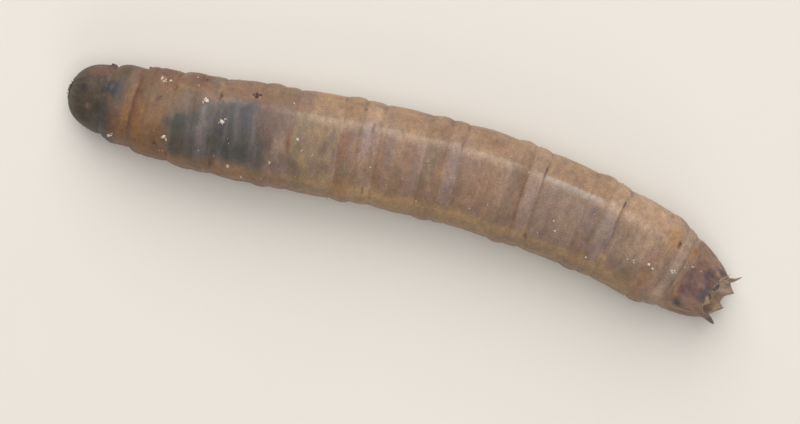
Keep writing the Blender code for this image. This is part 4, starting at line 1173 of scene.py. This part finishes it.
def make_head(offset):
    """Horny head capsule in the mouth of the skin, with its feelers, jaws, lip and toothed under-plate."""
    parts = Parts()
    u, v = np.meshgrid(np.linspace(0.02, math.pi - 0.02, 64), circle(80), indexing="ij")
    forward = np.exp(-((u / 0.95) ** 4))
    # Frontal plate between two seams, side ridges, and fine cross wrinkles on the shell
    top_off = np.abs((v + 0.5 * math.pi) % (2.0 * math.pi) - math.pi)
    seam = bell(top_off, 0.55 + 0.35 * np.sin(u), 0.05)
    swell = 1.0 - 0.045 * seam - 0.030 * bell(v, 1.5 * math.pi, 0.06)
    swell += 0.020 * np.cos(12.0 * v) * np.sin(u) ** 2 + 0.012 * noise(u, v * 2.0, 0.12, 0.35, 71)
    swell -= 0.030 * forward * (0.5 + 0.5 * np.cos(2.0 * v))
    place = CAPSULE_MIDDLE - CAPSULE_HALF[0] * np.cos(u)
    across = CAPSULE_HALF[1] * np.sin(u) * np.cos(v) * swell
    height = HEAD_TIP_HEIGHT + CAPSULE_HALF[2] * np.sin(u) * np.sin(v) * swell
    tone = tint(rgb(66, 44, 30), rgb(112, 76, 44), 0.6 * seam + 0.35 * forward)
    tone = tint(tone, rgb(34, 24, 20), 0.6 * part(noise(u, v, 0.4, 0.5, 72)))
    ends = [body_points(CAPSULE_MIDDLE + way * CAPSULE_HALF[0], 0.0, HEAD_TIP_HEIGHT) for way in (-1.0, 1.0)]
    tones = np.concatenate((tone.reshape(-1, 3), tone[0, :1], tone[-1, :1]))
    parts.add(*closed_tube(body_points(place, across, height), ends), tones)

    black = rgb(30, 22, 20)
    horn = rgb(78, 50, 32)
    pale = rgb(170, 138, 96)

    def spots(*knots):
        """World points from place, across, and rise over the middle of the head."""
        return [body_points(place, across, HEAD_TIP_HEIGHT + rise) for place, across, rise in knots]

    def rod(knots, size, tone, sides, over=1.0, squareness=2.0):
        """Bent rod through three knots, with a half size for each step; gives back its line."""
        line = bent_line(knots, len(size))
        parts.add(*tube(line, size, np.array(size) * over, sides, squareness), tone)
        return line

    def hair(root, tip, size, tone):
        rod((root, 0.5 * (root + tip), tip), size, tone, 6)

    for side in (-1.0, 1.0):
        # Feeler: pale socket ring, one long joint and a small tip with two pegs
        knots = spots((0.36, side * 0.37, 0.25), (0.10, side * 0.40, 0.30), (-0.10, side * 0.44, 0.33))
        size = (0.085, 0.100, 0.090, 0.068, 0.062, 0.060, 0.060, 0.058, 0.056, 0.052, 0.036, 0.010)
        share = np.concatenate((np.repeat(np.linspace(0.0, 1.0, len(size)), 16), [0.0, 1.0]))
        rod(knots, size, tint(pale, horn, smooth(0.3, 0.85, share)), 16)
        for lean in (-0.03, 0.035):
            peg = [(-0.09 - 0.04 * k, side * (0.44 + 0.005 * k) + lean, 0.33 + 0.005 * k) for k in range(3)]
            rod(spots(*peg), (0.014, 0.013, 0.011, 0.008, 0.003), pale, 8)
        # Jaw: stout curved hook with three teeth on its inner edge
        knots = spots((0.34, side * 0.27, -0.16), (-0.06, side * 0.36, -0.20), (-0.19, side * 0.06, -0.24))
        size = 0.135 * (1.0 - np.linspace(0.0, 1.0, 16) ** 1.5) + 0.014
        jaw = rod(knots, size, black, 18, 0.85, 2.4)
        for k, length in ((8, 0.09), (10, 0.075), (12, 0.055)):
            inward = unit(spots((0.05, 0.0, -0.24))[0] - jaw[k])
            knots = (jaw[k], jaw[k] + inward * 0.07, jaw[k] + inward * (0.07 + length))
            rod(knots, (0.045, 0.040, 0.030, 0.018, 0.004), black, 8)
        # Soft palp below the jaw
        knots = spots((0.34, side * 0.17, -0.44), (0.08, side * 0.19, -0.47), (-0.08, side * 0.17, -0.45))
        size = (0.10, 0.11, 0.11, 0.105, 0.10, 0.09, 0.075, 0.055, 0.045, 0.015)
        palp = rod(knots, size, tint(pale, horn, 0.55), 14, 0.8)
        for angle in 0.7 * np.arange(9):
            c, s = math.cos(angle), math.sin(angle)
            root = palp[7] + 0.05 * np.array((0.0, c, s))
            tip = root + body_points(-0.07, 0.03 * c, 0.02 * s) - body_points(0.0, 0.0, 0.0)
            hair(root, tip, (0.010, 0.008, 0.005, 0.002), horn)
    # Upper lip with a brush of stiff hairs
    t = np.linspace(0.0, 1.0, 12)
    line = bent_line(spots((0.34, 0.0, 0.10), (0.02, 0.0, 0.14), (-0.10, 0.0, 0.03)), len(t))
    wide = 0.27 * (1.0 - t ** 2.6) + 0.05
    parts.add(*tube(line, wide, 0.10 * (1.0 - 0.6 * t ** 2), 20, 2.6), rgb(98, 66, 40))
    for k in range(26):
        across = 0.24 * math.sin(2.4 * k)
        bow = math.cos(across * 5.0)
        root, tip = spots((-0.02 - 0.06 * bow, across, 0.07), (-0.15 - 0.05 * bow, across * 1.1, -0.01))
        hair(root, tip, (0.010, 0.008, 0.006, 0.002), rgb(120, 84, 50))
    # Toothed plate of the lower lip
    for k in range(-3, 4):
        reach = 0.05 - 0.10 * math.exp(-(k / 2.2) ** 2)
        knots = spots((0.36, 0.055 * k, -0.36), (0.16, 0.052 * k, -0.37), (reach, 0.045 * k, -0.34))
        rod(knots, (0.05, 0.05, 0.048, 0.044, 0.036, 0.022, 0.004), black, 10, 0.8)
    head = parts.build("head_and_mouthparts", offset)
    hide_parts("head_capsule")
    return head


# Breathing plates: place across and rise, and their section from the middle outwards as radius and rise
SPIRACLES = ((0.62, 0.26), (-0.4, 0.26))
PLATE = (
    (0.02, 0.06), (0.06, 0.058), (0.1, 0.048), (0.125, 0.03), (0.145, 0.012), (0.165, 0.022),
    (0.19, 0.034), (0.215, 0.036), (0.24, 0.03), (0.262, 0.02), (0.285, 0.048), (0.31, 0.074),
    (0.335, 0.078), (0.355, 0.062), (0.372, 0.03), (0.375, -0.02), (0.36, -0.1),
)
PLATE_SCALE = 0.90


def make_spiracles(offset):
    """Two round breathing plates with a dark rim, a ribbed pale ring and a dark button."""
    radii, rises = np.array(PLATE).T
    radius, angle = np.meshgrid(PLATE_SCALE * radii, circle(72), indexing="ij")
    ribs = np.cos(24.0 * angle)
    ring = bell(radius, 0.185, 0.05)
    dark = rgb(62, 52, 44)
    tone = tint(dark, rgb(118, 98, 68), ring * (0.7 + 0.3 * ribs))
    tone = np.concatenate((tone.reshape(-1, 3), [dark, dark]))
    parts = Parts()
    for across, rise in SPIRACLES:
        height = rise + radius * np.sin(angle)
        place = FIELD_PLACE - DISC_LEAN * height + rises[:, None] + 0.010 * ribs * ring + 0.05
        rings = body_points(place, across + radius * np.cos(angle), DISC_MIDDLE + height)
        middle = FIELD_PLACE - DISC_LEAN * rise
        ends = [body_points(middle + out, across, DISC_MIDDLE + rise) for out in (0.11, -0.10)]
        parts.add(*closed_tube(rings, ends), tone)
    return parts.build("spiracles", offset)


# Papillae: place of the root, and place across and place of the tip of each
PAPILLA_ROOT = 46.9
PAPILLAE = ((-0.98, 48.75), (-0.34, 49.1), (0.34, 49.1), (0.98, 48.75))


def make_papillae(offset):
    """Four soft fingers under the disc."""
    parts = Parts()
    steps, sides = 30, 26
    t = np.linspace(0.0, 1.0, steps)
    end = np.sqrt(1.0 - part((t - 0.80) / 0.205) ** 2)
    share = np.concatenate((np.repeat(t, sides), [0.0, 1.0]))
    tone = tint(rgb(150, 122, 94), CREAM, 0.6 * smooth(0.3, 1.0, share))
    for number, (across, tip) in enumerate(PAPILLAE):
        knee = 0.5 * (PAPILLA_ROOT + tip)
        knots = (PAPILLA_ROOT, across, 0.66), (knee, across, 0.34), (tip, across * 1.1, 0.34)
        size = 0.265 * end * (1.0 - 0.10 * t) * (1.0 + 0.035 * np.cos(t * 46.0 + number))
        size = np.maximum(size, 0.012)
        line = bent_line([body_points(*knot) for knot in knots], steps)
        points, faces = tube(line, size, size * 0.98, sides, waves=0.02)
        points[:, 2] = np.maximum(points[:, 2], 0.03)
        parts.add(points, faces, tone)
    return parts.build("anal_papillae", offset)


def point_normals(piece):
    """Points in millimetres and normals of a mesh."""
    values = np.zeros((2, len(piece.data.vertices) * 3))
    piece.data.vertices.foreach_get("co", values[0])
    piece.data.vertices.foreach_get("normal", values[1])
    return values[0].reshape(-1, 3) / MM, values[1].reshape(-1, 3)


# Bristles of each ring: share of its length, and dorsal angles on both sides. They stand between two
# places, above a lowest height.
BRISTLES = ((0.16, (22, 60, 96, 128)), (0.52, (12, 44, 82, 108, 150)), (0.86, (30, 70, 100, 136)))
FIRST_BRISTLES = 1.0
LAST_BRISTLES = 48.0
LOWEST_ROOT = 0.12


def spike(root, knee, tip, radius):
    """Thin tapered bristle of four sides."""
    size = radius * np.array((1.0, 0.85, 0.62, 0.36, 0.06))
    return tube(bent_line((root, knee, tip), len(size)), size, size, 4, upward=(0.13, 0.31, 0.94))


def make_bristles(skin):
    """Sparse short bristles of each ring, and the fringe of fine hairs on the lobes' edges."""
    draw = np.random.default_rng(91)
    points, normals = point_normals(skin)
    parts = Parts()
    brown = rgb(74, 50, 36)
    first_row = RIM_ROW + 1 - len(PLACES)
    last_ring = len(NAMES) - 1
    stations = [(k, share, ways) for k in range(len(NAMES)) for share, ways in BRISTLES]
    for k, share, ways in stations:
        place = SEAMS[k] + share * LENGTHS[k]
        if place < FIRST_BRISTLES or place > LAST_BRISTLES:
            continue
        row = first_row + int(np.argmin(np.abs(PLACES - place)))
        for way in [side * way for way in ways for side in (-1.0, 1.0)]:
            column = int(np.argmin(np.abs(half_turn(TURNED - way + draw.uniform(-4, 4)))))
            spot = min(row + int(draw.integers(-2, 3)), RIM_ROW) * AROUND + column
            root, normal = points[spot], normals[spot]
            if root[2] < LOWEST_ROOT:
                continue
            reach = draw.uniform(0.10, 0.24) * (1.25 if k in (0, last_ring) else 1.0)
            lean = np.array((0.55, draw.uniform(-0.3, 0.3), 0.12))
            tip = root + reach * (normal + lean * 0.8) / 1.3
            tip[2] = max(tip[2], 0.02)
            patch = (place / 50.0, (ANGLES[column] + 0.5 * math.pi) / (2.0 * math.pi))
            parts.add(*spike(root - 0.03 * normal, root + reach * 0.55 * normal, tip, 0.010), brown, patch)
    # Fringe: a pair of hairs at each point of the edge where the lobes are long
    rings = points[:-2].reshape(-1, AROUND, 3)
    edge, base = rings[EDGE_ROW], rings[RIM_ROW]
    centre = base.mean(axis=0)
    sideways = unit(np.roll(edge, -1, axis=0) - edge)
    for j, grown in enumerate(edge - base):
        if np.linalg.norm(grown) < 0.30:
            continue
        ahead = unit(grown)
        outward = unit(edge[j] - centre)
        for _ in range(2):
            reach = draw.uniform(0.10, 0.24)
            aim = unit(ahead + draw.uniform(0.0, 0.6) * outward + draw.uniform(-0.5, 0.5) * sideways[j])
            root = edge[j] - 0.05 * ahead + 0.02 * draw.uniform(-1, 1) * sideways[j]
            tip = root + reach * aim
            parts.add(*spike(root, 0.5 * (root + tip), tip, 0.005), brown, (0.99, j / AROUND))
    return parts


def add_bake_patches(piece, patches):
    """Map named OFBake: each bristle has a small patch at its root's place on the unrolled skin."""
    layer = piece.data.uv_layers.new(name="OFBake")
    values = np.zeros((len(piece.data.loops), 2))
    corners = np.array(((0.0, 0.0), (0.003, 0.0), (0.003, 0.003), (0.0, 0.003)))
    for polygon, patch in zip(piece.data.polygons, patches):
        for k, loop in enumerate(polygon.loop_indices):
            values[loop] = np.array(patch) * 0.99 + corners[k % 4]
    layer.data.foreach_set("uv", values.ravel())


# Pale grains that cling to the wet skin, some of them put where glints lie as painted highlights: x and y
# in the frame, and size, in millimetres
GRAINS_AND_GLINTS = (
    (-13.49, -0.63, 0.38), (-13.3, -0.4, 0.16), (-8.02, -0.19, 0.26), (-14.97, 0.44, 0.36),
    (-15.17, 0.27, 0.16), (11.17, -0.95, 0.16), (19.99, -1.19, 0.34), (19.68, -1.36, 0.14),
    (17.05, -1.29, 0.22), (13.82, -2.0, 0.13), (10.87, -0.28, 0.15), (-15.87, 1.34, 0.16),
    (-18.47, 1.04, 0.26), (-18.2, 1.0, 0.22), (-18.32, 0.84, 0.14), (-17.85, 1.04, 0.24),
    (-17.11, -2.89, 0.32), (-16.88, -3.0, 0.14), (6.08, -0.6, 0.16), (-19.95, 1.42, 0.15),
    (16.62, -1.31, 0.15), (18.2, -1.22, 0.22), (1.1, 1.06, 0.14), (6.65, 3.17, 0.12), (8.2, 2.44, 0.15),
    (18.53, -1.41, 0.22), (-7.54, -0.87, 0.16), (-2.57, -0.55, 0.12), (-9.46, -2.39, 0.17),
    (-9.02, 2.16, 0.13), (17.68, -0.8, 0.2), (21.33, -0.46, 0.14), (-1.79, -2.42, 0.12),
    (-20.99, -3.92, 0.3), (-20.79, -3.76, 0.14), (1.22, -1.85, 0.11), (4.96, -1.18, 0.12),
    (17.66, -2.66, 0.12), (-8.69, 0.97, 0.12), (9.62, 2.52, 0.1), (-6.68, -1.03, 0.16), (8.6, 3.35, 0.11),
    (-16.15, 1.88, 0.15), (-12.23, -3.45, 0.28), (-11.1, -3.91, 0.22),
    (21.28, -0.4, 0.18), (20.76, -0.58, 0.15), (21.96, -0.52, 0.15),
)
DARK_CRUMBS = (
    (-19.71, 1.72, 0.2), (-22.33, 1.0, 0.22), (-11.73, 1.82, 0.36), (-11.47, 1.99, 0.2),
    (-14.02, 1.1, 0.12), (-15.42, 1.89, 0.18), (-4.04, 3.25, 0.12), (19.87, 0.91, 0.14),
    (9.36, -1.96, 0.12),
)

# No stray grains lie in front of this x in the frame
HEAD_END = -18.5


def make_crumbs(name, spots, strays, skin, tone, seed):
    """Small irregular grains, each sunk a little in the skin."""
    draw = np.random.default_rng(seed)
    points, normals = point_normals(skin)
    facing = normals[:, 2] > 0.12
    points, normals = points[facing], normals[facing]
    wanted = []
    for x, y, size in spots:
        wanted.append((x, y, 0.80 * size))
        for _ in range(int(size / 0.055)):
            reach = size * draw.uniform(0.25, 0.62)
            way = draw.uniform(0.0, 2.0 * math.pi)
            near = size * draw.uniform(0.20, 0.44)
            wanted.append((x + reach * math.cos(way), y + reach * math.sin(way), near))
    for _ in range(strays):
        spot = points[int(draw.integers(0, len(points)))]
        size = draw.uniform(0.05, 0.085)
        if spot[0] > HEAD_END:
            wanted.append((spot[0], spot[1], size))
    parts = Parts()
    u, v = np.meshgrid(np.linspace(0.25, math.pi - 0.25, 7), circle(10), indexing="ij")
    for x, y, size in wanted:
        k = int(np.argmin((points[:, 0] - x) ** 2 + (points[:, 1] - y) ** 2))
        normal = normals[k]
        first = unit(np.cross(normal, (0.3, 0.8, 0.1)))
        second = np.cross(normal, first)
        rough = size * (1.0 + draw.uniform(-0.30, 0.30, u.shape))
        stretch = draw.uniform(0.75, 1.35)
        a = 0.5 * rough * np.sin(u) * np.cos(v) * stretch
        b = 0.5 * rough * np.sin(u) * np.sin(v) / stretch
        c = 0.34 * rough * np.cos(u)
        spin = draw.uniform(0.0, math.pi)
        a, b = a * math.cos(spin) - b * math.sin(spin), a * math.sin(spin) + b * math.cos(spin)
        centre = points[k] + normal * 0.16 * size
        rings = centre + a[..., None] * first + b[..., None] * second + c[..., None] * normal
        shape, faces = closed_tube(rings, [centre + normal * 0.33 * size, centre - normal * 0.33 * size])
        parts.add(shape, [face[::-1] for face in faces], tone * draw.uniform(0.72, 1.06))
    return parts.build(name, np.zeros(3))


def area_light(name, place, power, size, colour=(1.0, 1.0, 1.0)):
    """Soft square light that faces the larva."""
    data = bpy.data.lights.new(name, "AREA")
    data.energy = power
    data.size = size
    data.color = colour
    light = add_object(name, data)
    light.location = place
    light.rotation_euler = (-Vector(place)).to_track_quat("-Z", "Y").to_euler()


def make_studio():
    """Camera straight above as in the photograph, pale floor and soft lights."""
    data = bpy.data.cameras.new("camera")
    data.sensor_width = 36.0
    data.lens = 158.0
    data.clip_start = 0.005
    camera = add_object("camera", data)
    camera.location = (0.000371, -0.002925, 0.253)
    camera.rotation_euler = (0.0, 0.0, math.radians(17.49))
    bpy.context.scene.camera = camera

    mesh = bpy.data.meshes.new("floor")
    corners = [(-0.6, -0.6, 0.0), (0.6, -0.6, 0.0), (0.6, 0.6, 0.0), (-0.6, 0.6, 0.0)]
    mesh.from_pydata(corners, [], [(0, 1, 2, 3)])
    floor = add_object("floor", mesh)
    mesh.materials.append(floor_material())

    area_light("window", (-0.10, 0.26, 0.26), 1.45, 0.40, (1.0, 0.985, 0.965))
    area_light("overhead", (0.02, -0.02, 0.42), 0.80, 0.34)
    area_light("fill", (0.12, -0.26, 0.16), 0.25, 0.24, (1.0, 0.96, 0.92))
    world = bpy.data.worlds.new("studio")
    world.use_nodes = True
    sky = world.node_tree.nodes["Background"].inputs
    sky["Color"].default_value = (1.0, 0.99, 0.97, 1.0)
    sky["Strength"].default_value = 0.22
    bpy.context.scene.world = world
    bpy.context.scene.view_settings.view_transform = "Standard"


def finish_piece(piece, material):
    """Give a piece its material and slot, and let it ride on the one body."""
    piece.data.materials.clear()
    piece.data.materials.append(material)
    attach(piece, "root")


def main():
    """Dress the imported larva."""
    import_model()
    make_studio()
    offset = frame_offset()
    moist = skin_material()
    skin = make_skin(offset)
    finish_piece(skin, moist)
    head = make_head(offset)
    finish_piece(head, toned_material("head_horn", 0.24, 2600.0, 0.45, 0.4))
    spiracles = make_spiracles(offset)
    finish_piece(spiracles, toned_material("spiracle_horn", 0.30, 3000.0, 0.35, 0.4))
    papillae = make_papillae(offset)
    finish_piece(papillae, toned_material("soft_flesh", 0.42, 1400.0, 0.15, 0.6))
    bristle_parts = make_bristles(skin)
    bristles = bristle_parts.build("bristles", np.zeros(3))
    add_bake_patches(bristles, bristle_parts.patches)
    finish_piece(bristles, toned_material("bristle_horn", 0.40, 2000.0, 0.1, 0.3))
    # Pale grains, partly dirt on the skin and partly painted highlights
    grains = make_crumbs("pale_grains_and_glints", GRAINS_AND_GLINTS, 60, skin, rgb(226, 212, 194), 5)
    finish_piece(grains, toned_material("grain", 0.45, 5000.0, 0.2, 0.5))
    crumbs = make_crumbs("dark_crumbs", DARK_CRUMBS, 14, skin, rgb(96, 70, 66), 6)
    finish_piece(crumbs, toned_material("crumb", 0.75, 5000.0, 0.0, 0.8))


main()
